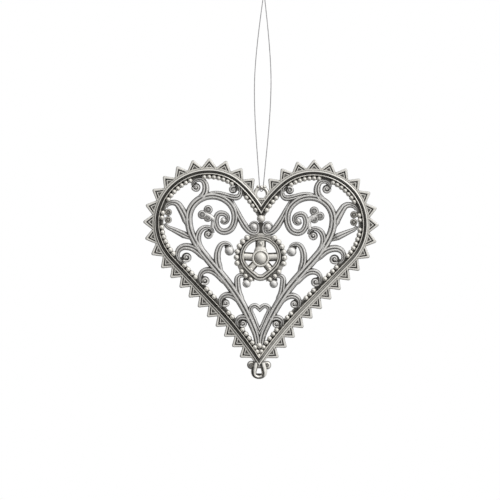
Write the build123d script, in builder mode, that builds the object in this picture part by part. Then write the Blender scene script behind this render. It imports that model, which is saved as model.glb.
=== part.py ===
"""Hanging openwork heart of soldered tin strips, wires and granules, on a looped thread.

The heart lies in the XZ plane with its face toward -Y. The origin is the knot that it hangs from.
The ornament is drawn flat, on a grid counted from the middle of the hanging eye.
"""

import os
from dataclasses import dataclass
from math import atan2, cos, pi, radians, sin, sqrt, tan

from build123d import *

os.makedirs("parts", exist_ok=True)

# Driving dimensions in millimetres
HEART_WIDTH = 100.0
BACK_Y = 1.2
EYE_DROP = 84.0
LEDGE_HEIGHT = 0.9
TOOTH_HEIGHT = 1.5
POCKET_DEPTH = 0.6
RIM_HEIGHT = 2.7
RIM_WIDTH = 2.1
RIM_CHAMFER = 0.65
GRANULE_RADIUS = 0.85
GRANULE_HEIGHT = 1.1
GRANULE_TAPER = 24.0
TRUNK_HEIGHT = 2.3
BRANCH_HEIGHT = 2.1
CURL_HEIGHT = 1.9
WIRE_CHAMFER = 0.45
BALL_HEIGHT = 2.4
BALL_CHAMFER = 0.8
EYE_HOLE_RADIUS = 1.8
EYE_RING_RADIUS = 3.5
EYE_HEIGHT = 1.8
EYE_BEAD_RADIUS = 0.8
EYE_BEAD_LINE = 3.15
BOSS_HEIGHT = 3.0
BOSS_CHAMFER = 1.2
RING_HEIGHT = 2.2
RING_WIDTH = 1.7
SPOKE_WIDTH = 1.8
SPOKE_HEIGHT = 1.4
FOOT_HEIGHT = 1.6
THREAD_RADIUS = 0.19
THREAD_BEND = 0.5
THREAD_TURN_SHARE = 0.45
KNOT_RADIUS = 0.95

# The drawing grid: 235.5 squares from tooth tip to tooth tip
GRID = HEART_WIDTH / 235.5
EYE_Z = -EYE_DROP
FACE = Plane(origin=(0, BACK_Y, EYE_Z), x_dir=(1, 0, 0), z_dir=(0, -1, 0))

# The rim's right half from cleft to foot: grid place and heading in degrees
RIM_STATIONS = [
    (0, -15.5, 59),
    (52.2, 21.6, 0),
    (104.2, -29.7, -90),
    (89.6, -65.3, -134),
    (0, -167, -124),
]
TEETH_PER_SIDE = 23
FIRST_TOOTH = 27.0
LAST_TOOTH = 1.0
TOOTH_TIP = 13.6
TOOTH_VALLEY = 6.0
TOOTH_POCKET = [(-4.2, 4.6), (4.2, 4.6), (0, 10.3)]
TOOTH_ISLAND = [(-1.4, 5.7), (1.4, 5.7), (0, 8.0)]
LEDGE_EDGE = 6.8
BEAD_LINE = 5.4
BEAD_PITCH = 5.0
CLEFT_WEB = -9.0
FOOT_WEB = (6.5, -172.5)

# The hanging eye's neck with its sunk triangle, and the loop at the foot, in grid squares
EYE_BEAD_ANGLES = (55, 90, 125)
EYE_NECK = [(-7.5, -4), (7.5, -4), (0, -15)]
EYE_POCKET = [(-3.4, -6.4), (3.4, -6.4), (0, -11.4)]
FOOT_CENTRE = -177.0
FOOT_RADIUS = 7.4
FOOT_SHOULDER = (6.0, -170)
FOOT_HOLE = [(-2.0, -174.5), (2.0, -174.5), (3.2, -179.6), (-3.2, -179.6)]

# The rosette and the beads of the middle line, in grid squares
ROSETTE_CENTRE = -63.5
RING_STATIONS = [
    (0, -44.3, 0),
    (18.3, -62.3, -90),
    (13.5, -73.5, -132),
    (3.2, -83.4, -138),
    (0, -84.6, 180),
]
FLANGE_INNER = 20.4
FLANGE_OUTER = 26.4
FLANGE_NOTCH = [(-8, -94), (8, -94), (0, -82)]
ROSETTE_BEAD_LINE = (FLANGE_INNER + FLANGE_OUTER) / 2
ROSETTE_BEADS = 26
BOSS_RADIUS = 8.5
SPOKE_REACH = 17.5
SPOKE_ANGLES = (90, 175, 5, 232, 308)
CLEFT_BEAD = (0, -24.5, 4.0)
ROOT_COLLAR = (0, -151.5, 3.4)


@dataclass(frozen=True)
class Strand:
    """A bent wire: its width in grid squares, height in millimetres, stations and melted end."""

    width: float
    height: float
    stations: tuple
    ball: tuple = ()
    cut_by: tuple = ()


# Right-hand wires, each station a grid place and a heading in degrees
STRANDS = {
    "trunk": Strand(
        5.6,
        TRUNK_HEIGHT,
        (
            (1.9, -150, 88),
            (11, -123, 64),
            (35, -86, 50),
            (58.5, -58.5, 51),
            (72.4, -25, 90),
            (49, -2.3, 180),
            (26, -23.5, 270),
            (36.8, -38.2, 0),
            (45.2, -27.5, 90),
            (39.8, -19.6, 180),
            (33.2, -24.8, 270),
            (37, -29.6, 0),
        ),
    ),
    "inner_curl": Strand(
        5.0,
        BRANCH_HEIGHT,
        ((52, -65.5, 50), (63, -45, 90), (53.5, -33.8, 180), (47.8, -39.5, 270)),
        (52.4, -41, 4.8),
        ("trunk",),
    ),
    "rosette_arm_upper": Strand(
        5.0,
        BRANCH_HEIGHT,
        ((37, -83, 62), (43.2, -61, 95), (35, -49.6, 180), (29.2, -54.5, 262)),
        (31.1, -57.2, 4.8),
        ("trunk",),
    ),
    "rosette_arm_lower": Strand(
        5.0,
        BRANCH_HEIGHT,
        ((15.5, -112, 64), (22.3, -95, 82), (18.6, -81.4, 180), (13.2, -86, 268)),
        (13.5, -89.6, 4.2),
        ("trunk",),
    ),
    "edge_curl_1": Strand(
        5.2,
        CURL_HEIGHT,
        ((53, -68, 50), (66.2, -55.6, 30), (74.8, -53.4, 0), (83.2, -61, 270), (78, -68.2, 190)),
        (74, -64.4, 4.9),
        ("trunk",),
    ),
    "edge_curl_2": Strand(
        4.6,
        CURL_HEIGHT,
        ((31.5, -93, 54), (43.5, -80.2, 38), (52.3, -76.7, 0), (60.3, -84, 270), (57, -90.5, 200)),
        (55.6, -87.2, 4.6),
        ("trunk",),
    ),
    "edge_curl_3": Strand(
        4.4,
        CURL_HEIGHT,
        ((17, -112, 60), (24, -104, 36), (32, -101.2, 0), (39.8, -108.5, 270), (37, -113.8, 200)),
        (34.5, -109.5, 4.2),
        ("trunk",),
    ),
    "edge_curl_4": Strand(
        4.4,
        CURL_HEIGHT,
        ((7, -131, 66), (12, -124.6, 30), (16.6, -123.3, 0), (23, -129, 270), (20.5, -133.5, 200)),
        (17, -129.7, 4.0),
        ("trunk",),
    ),
    "lobe_curl": Strand(
        5.0,
        BRANCH_HEIGHT,
        ((66.5, -11.5, 128), (55.6, 5.2, 90), (61.8, 13.8, 0), (69, 7.6, 270)),
        (65.6, 5.8, 4.3),
        ("trunk",),
    ),
    "cleft_curl": Strand(
        4.4,
        CURL_HEIGHT,
        (
            (60, -4.5, 150),
            (46, 0.2, 180),
            (31, -3, 195),
            (24.6, -3.6, 170),
            (20.6, 2.5, 90),
            (25.5, 8.6, 0),
        ),
        (28.3, 4.4, 4.2),
        ("trunk", "lobe_curl"),
    ),
    "crown_stem": Strand(
        4.6,
        CURL_HEIGHT,
        ((30, -5.5, 243), (16.5, -31.5, 236), (6, -38.6, 180), (2.7, -34, 90), (6.4, -29.2, 0)),
        (7.4, -32.4, 2.8),
        ("trunk", "cleft_curl"),
    ),
    "leaf_upper": Strand(
        5.8,
        CURL_HEIGHT,
        ((72.6, -35, 84), (78, -19.5, 60), (88, -9.6, 0), (95.5, -15, 280)),
        (),
        ("trunk",),
    ),
    "leaf_lower": Strand(
        5.2,
        CURL_HEIGHT,
        ((68.5, -45.5, 25), (85.2, -37.8, 25), (96, -30.5, 70)),
        (),
        ("trunk",),
    ),
}
SMALL_HEART = Strand(
    4.2,
    CURL_HEIGHT,
    ((0, -137, 62), (6, -123.5, 68), (9, -115.6, 90), (5, -112, 180), (0, -116, 228)),
    (),
)
TREFOIL_LOBES = ((53.7, -16, 4.2), (60.3, -21.5, 4.2), (51.4, -25, 4.2))
TREFOIL_NECK = ((55.5, -19.5), (48.5, -28))
TREFOIL_NECK_WIDTH = 4.6
LEAF_GRANULES = ((92.8, -19.4, 3.9), (92.8, -26.9, 3.9))

# The thread's route in millimetres, from knot to knot by way of the eye
THREAD_POINTS = [
    (-0.4, -0.3, -1.35),
    (-3.1, -0.5, -22.5),
    (-3.8, -0.8, -45.0),
    (-0.62, -1.1, EYE_Z + 1.2),
    (0.62, 1.7, EYE_Z + 1.2),
    (3.8, 1.0, -45.0),
    (3.1, 0.6, -22.5),
    (0.4, 0.3, -1.35),
]
THREAD_EYE_CORNERS = (3, 4)


def spot(u, v):
    """Turns a grid place into millimetres."""
    return (u * GRID, v * GRID)


def way(heading):
    """Gives the unit direction of a heading in degrees."""
    return (cos(radians(heading)), sin(radians(heading)))


def joint_of(start, start_way, end, end_way):
    """Finds where the two arcs meet that leave start and reach end along their headings."""
    chord = (end[0] - start[0], end[1] - start[1])
    both = (start_way[0] + end_way[0], start_way[1] + end_way[1])
    square = chord[0] ** 2 + chord[1] ** 2
    along = chord[0] * both[0] + chord[1] * both[1]
    spread = 2 - 2 * (start_way[0] * end_way[0] + start_way[1] * end_way[1])
    if spread < 1e-9:
        reach = square / (2 * along)
    else:
        reach = (sqrt(along**2 + spread * square) - along) / spread
    return tuple(
        (start[i] + end[i] + reach * (start_way[i] - end_way[i])) / 2 for i in range(2)
    )


def bend(start, start_way, end):
    """Draws the arc, or straight run, that leaves start along its heading and reaches end."""
    chord = atan2(end[1] - start[1], end[0] - start[0])
    if abs(start_way[0] * sin(chord) - start_way[1] * cos(chord)) < 1e-4:
        return Line(start, end)
    return TangentArc(start, end, tangent=start_way)


def strand_line(stations):
    """Draws a wire's middle line through its stations with tangent arcs."""
    with BuildLine() as line:
        for (u0, v0, h0), (u1, v1, h1) in zip(stations, stations[1:]):
            start = spot(u0, v0)
            end = spot(u1, v1)
            middle = joint_of(start, way(h0), end, way(h1))
            first = bend(start, way(h0), middle)
            leaving = first % 1
            bend(middle, (leaving.X, leaving.Y), end)
    return line.wire()


def grid_corners(corners):
    """Turns a list of grid places into millimetres."""
    return [spot(u, v) for u, v in corners]


def button(u, v, radius, height, edge):
    """Builds a round button with a sloped shoulder."""
    with BuildPart() as knob:
        with BuildSketch(FACE):
            with Locations(spot(u, v)):
                Circle(radius * GRID)
        extrude(amount=height)
        chamfer(knob.faces().sort_by(Axis.Y)[0].edges(), edge)
    return knob.part


def wire_solid(strand):
    """Builds a wire along its middle line, with its melted end."""
    with BuildPart() as wire:
        with BuildSketch(FACE):
            trace(strand_line(strand.stations), line_width=strand.width * GRID)
        extrude(amount=strand.height)
        chamfer(wire.faces().sort_by(Axis.Y)[0].edges(), WIRE_CHAMFER)
        if strand.ball:
            add(button(*strand.ball, BALL_HEIGHT, BALL_CHAMFER))
    return wire.part


def trimmed(solid, *others):
    """Cuts a piece back to the faces of the pieces it is soldered to, and drops loose chips."""
    with BuildPart() as piece:
        add(solid)
        for other in others:
            add(other, mode=Mode.SUBTRACT)
    with BuildPart() as kept:
        add(piece.part.solids().sort_by(SortBy.VOLUME)[-1])
    return kept.part


def grown_face(half_line, amount):
    """Draws the shape between a line and its mirror image, grown by an amount in grid squares."""
    with BuildSketch() as shape:
        with BuildLine():
            add(half_line)
            mirror(half_line, about=Plane.YZ)
        make_face()
        offset(amount=amount * GRID, kind=Kind.ARC)
    return shape.sketch


def rim_spot(half_line, along, out):
    """Gives the place a distance along the rim from the cleft and out from it, in grid squares."""
    share = min(along * GRID / half_line.length, 1.0)
    here = half_line @ share
    going = half_line % share
    return (here.X - going.Y * out * GRID, here.Y + going.X * out * GRID, going)


def tooth_places(half_line):
    """Spaces the teeth along one side of the rim."""
    length = half_line.length / GRID
    step = (length - LAST_TOOTH - FIRST_TOOTH) / (TEETH_PER_SIDE - 1)
    return [FIRST_TOOTH + step * i for i in range(TEETH_PER_SIDE)], step


def border_outline(half_line):
    """Lists the right-hand corners of the toothed edge from cleft to foot."""
    places, step = tooth_places(half_line)
    corners = [spot(0, CLEFT_WEB)]
    for place in places:
        corners.append(rim_spot(half_line, place - step / 2, TOOTH_VALLEY)[:2])
        corners.append(rim_spot(half_line, place, TOOTH_TIP)[:2])
    corners.append(spot(*FOOT_WEB))
    corners.append(spot(0, FOOT_WEB[1]))
    return corners


def toothed_edge(half_line):
    """Draws the filled outline of the toothed border."""
    right = border_outline(half_line)
    left = [(-x, y) for x, y in reversed(right[1:-1])]
    with BuildSketch() as edge:
        with BuildLine():
            Polyline(*right, *left, close=True)
        make_face()
    return edge.sketch


def tooth_pockets(half_line):
    """Draws the sunk triangle of every tooth around its small raised middle."""
    places, _ = tooth_places(half_line)
    locations = []
    for place in places:
        x, y, going = rim_spot(half_line, place, 0)
        turn = going.get_angle(Vector(1, 0)) * (1 if going.Y >= 0 else -1)
        locations.append(Location((x, y), turn))
        locations.append(Location((-x, y), -turn))
    with BuildSketch() as pockets:
        with Locations(*locations):
            Polygon(*grid_corners(TOOTH_POCKET), align=None)
            Polygon(*grid_corners(TOOTH_ISLAND), align=None, mode=Mode.SUBTRACT)
    return pockets.sketch


def granules(places):
    """Builds separate six-sided granules on the ledge at the places given."""
    top = FACE.offset(LEDGE_HEIGHT)
    with BuildPart() as beads:
        with BuildSketch(top):
            with Locations(*places):
                RegularPolygon(GRANULE_RADIUS, 6)
        extrude(amount=GRANULE_HEIGHT, taper=GRANULE_TAPER)
    return beads.part


def bead_places(half_line, clear):
    """Walks along the rim and keeps the places where no wire lies on the ledge."""
    length = half_line.length / GRID
    count = round(length / BEAD_PITCH)
    places = []
    for i in range(count):
        x, y, _ = rim_spot(half_line, (i + 0.5) * length / count, -BEAD_LINE)
        if x > GRANULE_RADIUS and clear(x, y):
            places.append((x, y))
    return places + [(-x, y) for x, y in places]


def clear_of(lines, discs):
    """Makes a test for places where a granule touches none of the wires and buttons."""

    def test(x, y):
        here = Vertex(x, y, 0)
        for line, reach in lines:
            if line.distance_to(here) < reach + GRANULE_RADIUS:
                return False
        for u, v, radius in discs:
            apart = sqrt((x - u * GRID) ** 2 + (y - v * GRID) ** 2)
            if apart < radius * GRID + GRANULE_RADIUS:
                return False
        return True

    return test


def slab(sketch, start, amount):
    """Extrudes a flat drawing from a height above the back."""
    with BuildPart() as block:
        with BuildSketch(FACE.offset(start)):
            add(sketch)
        extrude(amount=amount)
    return block.part


# The border: ledge, toothed edge with sunk triangles, and the rim soldered on it
rim_line = strand_line(RIM_STATIONS)
edge_face = toothed_edge(rim_line)
ledge_hole = grown_face(rim_line, -LEDGE_EDGE)
rim_half_width = RIM_WIDTH / 2 / GRID
outside = grown_face(rim_line, rim_half_width)
inside = grown_face(rim_line, -rim_half_width)
with BuildPart() as toothed_border:
    add(slab(edge_face, 0, TOOTH_HEIGHT))
    add(slab(ledge_hole, 0, TOOTH_HEIGHT), mode=Mode.SUBTRACT)
    add(slab(inside, LEDGE_HEIGHT, TOOTH_HEIGHT), mode=Mode.SUBTRACT)
    pockets = tooth_pockets(rim_line)
    add(slab(pockets, TOOTH_HEIGHT - POCKET_DEPTH, POCKET_DEPTH), mode=Mode.SUBTRACT)
toothed_border.part.label = "toothed_border"
export_step(toothed_border.part, "parts/toothed_border.step")

with BuildPart() as rim_ridge:
    add(slab(outside, TOOTH_HEIGHT, RIM_HEIGHT - TOOTH_HEIGHT))
    add(slab(inside, TOOTH_HEIGHT, RIM_HEIGHT - TOOTH_HEIGHT), mode=Mode.SUBTRACT)
    chamfer(rim_ridge.faces().sort_by(Axis.Y)[0].edges(), RIM_CHAMFER)
rim_ridge.part.label = "rim_ridge"
export_step(rim_ridge.part, "parts/rim_ridge.step")

# The hanging eye in the cleft and the loop at the foot
eye_bead_places = []
for angle in EYE_BEAD_ANGLES:
    across, up = way(angle)
    eye_bead_places.append((EYE_BEAD_LINE * across, EYE_BEAD_LINE * up))
with BuildPart() as hang_eye:
    with BuildSketch(FACE):
        Circle(EYE_RING_RADIUS)
        with Locations(*eye_bead_places):
            Circle(EYE_BEAD_RADIUS)
        Polygon(*grid_corners(EYE_NECK), align=None)
        Circle(EYE_HOLE_RADIUS, mode=Mode.SUBTRACT)
    extrude(amount=EYE_HEIGHT)
    with BuildSketch(FACE.offset(EYE_HEIGHT)):
        Polygon(*grid_corners(EYE_POCKET), align=None)
    extrude(amount=-POCKET_DEPTH, mode=Mode.SUBTRACT)
    add(toothed_border.part, mode=Mode.SUBTRACT)
    add(rim_ridge.part, mode=Mode.SUBTRACT)
hang_eye.part.label = "hang_eye"
export_step(hang_eye.part, "parts/hang_eye.step")

with BuildPart() as foot_loop:
    with BuildSketch(FACE):
        with Locations(spot(0, FOOT_CENTRE)):
            Circle(FOOT_RADIUS * GRID)
        neck_half, neck_top = FOOT_SHOULDER
        neck = [
            (-FOOT_RADIUS, FOOT_CENTRE),
            (FOOT_RADIUS, FOOT_CENTRE),
            (neck_half, neck_top),
            (-neck_half, neck_top),
        ]
        Polygon(*grid_corners(neck), align=None)
        Polygon(*grid_corners(FOOT_HOLE), align=None, mode=Mode.SUBTRACT)
    extrude(amount=FOOT_HEIGHT)
    add(toothed_border.part, mode=Mode.SUBTRACT)
    add(rim_ridge.part, mode=Mode.SUBTRACT)
foot_loop.part.label = "foot_loop"
export_step(foot_loop.part, "parts/foot_loop.step")

# The rosette: flanged ring, spoked boss and its granules
centre = spot(0, ROSETTE_CENTRE)
ring_line = strand_line(RING_STATIONS)
ring_half_width = RING_WIDTH / 2 / GRID
ring_outside = grown_face(ring_line, ring_half_width)
ring_inside = grown_face(ring_line, -ring_half_width)
with BuildPart() as rosette_ring:
    with BuildSketch(FACE):
        with Locations(centre):
            Circle(FLANGE_OUTER * GRID)
        Polygon(*grid_corners(FLANGE_NOTCH), align=None, mode=Mode.SUBTRACT)
    extrude(amount=LEDGE_HEIGHT)
    add(slab(ring_outside, 0, RING_HEIGHT))
    add(slab(ring_inside, 0, RING_HEIGHT), mode=Mode.SUBTRACT)
    chamfer(rosette_ring.faces().sort_by(Axis.Y)[0].edges(), WIRE_CHAMFER)
rosette_ring.part.label = "rosette_ring"
export_step(rosette_ring.part, "parts/rosette_ring.step")

with BuildPart() as rosette_flower:
    with BuildSketch(FACE):
        with Locations(centre):
            Circle(BOSS_RADIUS * GRID)
    extrude(amount=BOSS_HEIGHT)
    chamfer(rosette_flower.faces().sort_by(Axis.Y)[0].edges(), BOSS_CHAMFER)
    with BuildSketch(FACE):
        for angle in SPOKE_ANGLES:
            reach = SPOKE_REACH * GRID
            across, up = way(angle)
            place = (centre[0] + reach * across / 2, centre[1] + reach * up / 2)
            with Locations(Location(place, angle)):
                Rectangle(reach, SPOKE_WIDTH)
    extrude(amount=SPOKE_HEIGHT)
    add(slab(ring_inside, 0, BOSS_HEIGHT), mode=Mode.INTERSECT)
rosette_flower.part.label = "rosette_flower"
export_step(rosette_flower.part, "parts/rosette_flower.step")

# The wires, built on the right, cut back to their neighbours and mirrored
with BuildPart() as right_side:
    with Locations((HEART_WIDTH / 2, 0, EYE_Z)):
        Box(HEART_WIDTH, HEART_WIDTH, 3 * HEART_WIDTH)
collar_solid = button(*ROOT_COLLAR, BALL_HEIGHT, BALL_CHAMFER)
with BuildPart() as ledge_ring:
    add(slab(outside, 0, LEDGE_HEIGHT))
    add(slab(ledge_hole, 0, LEDGE_HEIGHT), mode=Mode.SUBTRACT)
with BuildPart() as step_ring:
    add(slab(outside, LEDGE_HEIGHT, TOOTH_HEIGHT - LEDGE_HEIGHT))
    add(slab(inside, LEDGE_HEIGHT, TOOTH_HEIGHT - LEDGE_HEIGHT), mode=Mode.SUBTRACT)
frame_solids = [
    ledge_ring.part, step_ring.part, rim_ridge.part, rosette_ring.part, hang_eye.part,
]
wires = {}
for name, strand in STRANDS.items():
    with BuildPart() as half:
        add(wire_solid(strand))
        add(right_side.part, mode=Mode.INTERSECT)
    neighbours = [wires[other] for other in strand.cut_by]
    wires[name] = trimmed(half.part, *frame_solids, collar_solid, *neighbours)

heart_solid = wire_solid(SMALL_HEART)
with BuildPart() as small_heart:
    add(heart_solid)
    mirror(heart_solid, about=Plane.YZ)
    for name in ("trunk", "rosette_arm_lower"):
        add(wires[name], mode=Mode.SUBTRACT)
        add(mirror(wires[name], about=Plane.YZ, mode=Mode.PRIVATE), mode=Mode.SUBTRACT)
small_heart.part.label = "small_heart"
export_step(small_heart.part, "parts/small_heart.step")

with BuildPart() as clover:
    for u, v, radius in TREFOIL_LOBES:
        add(button(u, v, radius, CURL_HEIGHT, WIRE_CHAMFER))
    with BuildSketch(FACE):
        with BuildLine() as stalk:
            Line(*grid_corners(TREFOIL_NECK))
        trace(stalk.line, line_width=TREFOIL_NECK_WIDTH * GRID)
    extrude(amount=CURL_HEIGHT - WIRE_CHAMFER)
wires["trefoil"] = trimmed(clover.part, wires["trunk"], wires["inner_curl"])

with BuildPart() as cluster:
    for u, v, radius in LEAF_GRANULES:
        add(button(u, v, radius, CURL_HEIGHT, WIRE_CHAMFER))
leaf_ends = (toothed_border.part, rim_ridge.part, wires["leaf_upper"], wires["leaf_lower"])
wires["leaf_granules"] = trimmed(cluster.part, *leaf_ends)

for name, solid in wires.items():
    for side in ("right", "left"):
        with BuildPart() as wire:
            if side == "right":
                add(solid)
            else:
                mirror(solid, about=Plane.YZ)
        wire.part.label = f"{name}_{side}"
        export_step(wire.part, f"parts/{name}_{side}.step")

# Single beads on the middle line
with BuildPart() as cleft_bead:
    add(button(*CLEFT_BEAD, BALL_HEIGHT, BALL_CHAMFER))
    for other in (toothed_border.part, rim_ridge.part, wires["crown_stem"]):
        add(other, mode=Mode.SUBTRACT)
    add(mirror(wires["crown_stem"], about=Plane.YZ, mode=Mode.PRIVATE), mode=Mode.SUBTRACT)
cleft_bead.part.label = "cleft_bead"
export_step(cleft_bead.part, "parts/cleft_bead.step")

with BuildPart() as root_collar:
    add(collar_solid)
    for other in (toothed_border.part, rim_ridge.part):
        add(other, mode=Mode.SUBTRACT)
root_collar.part.label = "root_collar"
export_step(root_collar.part, "parts/root_collar.step")

# Granules on both ledges, left out where a wire lies on the ledge
wire_lines = [(strand_line(s.stations), s.width * GRID / 2) for s in STRANDS.values()]
wire_lines.append((ring_line, RING_WIDTH / 2))
discs = [s.ball for s in STRANDS.values() if s.ball]
discs += [CLEFT_BEAD, ROOT_COLLAR, *LEAF_GRANULES]
is_clear = clear_of(wire_lines, discs)
bead_border = granules(bead_places(rim_line, is_clear))
bead_border.label = "bead_border"
export_step(bead_border, "parts/bead_border.step")

ring_places = []
for i in range(ROSETTE_BEADS):
    heading = way(90 + (i + 0.5) * 360 / ROSETTE_BEADS)
    x = ROSETTE_BEAD_LINE * GRID * heading[0]
    y = centre[1] + ROSETTE_BEAD_LINE * GRID * heading[1]
    if is_clear(abs(x), y):
        ring_places.append((x, y))
rosette_beads = granules(ring_places)
rosette_beads.label = "rosette_beads"
export_step(rosette_beads, "parts/rosette_beads.step")

# The thread and the knot that it hangs from
with BuildPart() as thread_knot:
    Sphere(KNOT_RADIUS)
thread_knot.part.label = "thread_knot"
export_step(thread_knot.part, "parts/thread_knot.step")

thread_bends = []
for corner in range(1, len(THREAD_POINTS) - 1):
    before, here, after = (Vector(p) for p in THREAD_POINTS[corner - 1 : corner + 2])
    half_turn = radians((here - before).get_angle(after - here)) / 2
    shorter = min((here - before).length, (after - here).length)
    roomy = THREAD_TURN_SHARE * shorter / tan(half_turn)
    thread_bends.append(THREAD_BEND if corner in THREAD_EYE_CORNERS else roomy)
with BuildPart() as hanging_thread:
    with BuildLine() as route:
        FilletPolyline(*THREAD_POINTS, radius=thread_bends)
    with BuildSketch(Plane(route.line @ 0, z_dir=route.line % 0)):
        Circle(THREAD_RADIUS)
    sweep(path=route.line)
hanging_thread.part.label = "hanging_thread"
export_step(hanging_thread.part, "parts/hanging_thread.step")
thread_length = route.wire().length
print("thread radii", [round(bend_radius, 2) for bend_radius in thread_bends])
print("thread length", thread_length, "volume", hanging_thread.part.volume)
print("section times length", pi * THREAD_RADIUS**2 * thread_length)
print("granules", len(bead_border.solids()), len(rosette_beads.solids()))
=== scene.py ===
"""Dresses the hanging tin heart: toothed border, rim, scrolled wires, rosette, granules and thread."""

import logging
import math
from collections.abc import Callable, Iterable, Iterator
from contextlib import contextmanager
from dataclasses import dataclass, field
from enum import Enum

import bmesh
import bpy
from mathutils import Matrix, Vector


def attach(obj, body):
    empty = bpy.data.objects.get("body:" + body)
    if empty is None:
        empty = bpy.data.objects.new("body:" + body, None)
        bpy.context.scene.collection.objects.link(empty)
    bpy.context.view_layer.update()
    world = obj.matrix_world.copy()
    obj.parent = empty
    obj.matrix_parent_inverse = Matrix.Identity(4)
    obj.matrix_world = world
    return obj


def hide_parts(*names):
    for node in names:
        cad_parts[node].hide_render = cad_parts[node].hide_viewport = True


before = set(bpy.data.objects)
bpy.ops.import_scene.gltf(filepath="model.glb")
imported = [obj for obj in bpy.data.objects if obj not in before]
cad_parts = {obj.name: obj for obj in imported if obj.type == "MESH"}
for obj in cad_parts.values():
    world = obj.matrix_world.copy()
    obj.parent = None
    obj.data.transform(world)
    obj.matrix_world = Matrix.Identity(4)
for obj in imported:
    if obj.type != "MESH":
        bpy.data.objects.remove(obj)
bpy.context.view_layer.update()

LOG = logging.getLogger("tin_heart")

MM = 0.001

# The drawing grid: its squares over the heart's width, with zero at the middle of the hanging eye
HEART_WIDTH = 100 * MM
SQUARES_ACROSS = 235.5
GRID = HEART_WIDTH / SQUARES_ACROSS
BACK_Y = 1.2 * MM
EYE_Z = -84 * MM

# Bends flatter than this count as straight
STRAIGHT = 1e-5

# A hair of height in millimetres that keeps the backs of overlapping pieces apart
BACK_STEP = 0.01

# The painted layer that says how far the patina is rubbed off; it also carries painted shade and a
# painted highlight
WEAR_AND_PAINTED_LIGHT = "wear"

# Thickness of a wire's drawn-out ends, as a share of its full section
THIN_END = 0.45

# A point in space, a grid place with its heading, and a grid place or other pair of sizes
Point = tuple[float, float, float]
Station = tuple[float, float, float]
Corner = tuple[float, float]

# A section's corner with its wear, a grid place with a radius, and a colour with its opacity
Edge = tuple[float, float, float]
Disc = tuple[float, float, float]
Colour = tuple[float, float, float, float]

# A wire's thickness by share of its length, and whether a grid place has some room round it
Swell = Callable[[float], float]
Clearance = Callable[[float, float, float], bool]


def spot(u: float, v: float, height: float = 0.0) -> Vector:
    """Turns a grid place and a height above the back in millimetres into a point in metres."""
    return Vector((u * GRID, BACK_Y - height * MM, EYE_Z + v * GRID))


def way(angle: float) -> Corner:
    """Gives the step across and up that goes one square along a direction in degrees."""
    turn = math.radians(angle)
    return (math.cos(turn), math.sin(turn))


def risen(value: float, low: float, high: float) -> float:
    """Gives how far a value has gone from one limit to another, from 0 to 1."""
    return min(max((value - low) / (high - low), 0.0), 1.0)


def tapered(*middle: Corner) -> tuple[Corner, ...]:
    """Gives a wire's thickness by share of its length: as listed, between two thin ends."""
    return ((0.0, THIN_END), *middle, (1.0, THIN_END))


@dataclass(frozen=True)
class Bend:
    """One arc of a wire's middle line, in grid squares and radians."""

    u: float
    v: float
    heading: float
    length: float
    turn: float

    def at(self, along: float) -> Station:
        """Gives the place and heading a distance along the arc.

        Args:
            along: Distance from the arc's start, in grid squares.

        Returns:
            The place in the grid and the heading in radians.
        """
        end = self.heading + self.turn * along / self.length
        if abs(self.turn) < STRAIGHT:
            return (self.u + along * math.cos(end), self.v + along * math.sin(end), end)
        radius = self.length / self.turn
        across = radius * (math.sin(end) - math.sin(self.heading))
        up = radius * (math.cos(self.heading) - math.cos(end))
        return (self.u + across, self.v + up, end)

    def handle(self) -> float:
        """Gives the length of the Bezier handles that follow the arc.

        Returns:
            The length in grid squares.
        """
        if abs(self.turn) < STRAIGHT:
            return self.length / 3
        return 4 / 3 * math.tan(abs(self.turn) / 4) * self.length / abs(self.turn)


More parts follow.
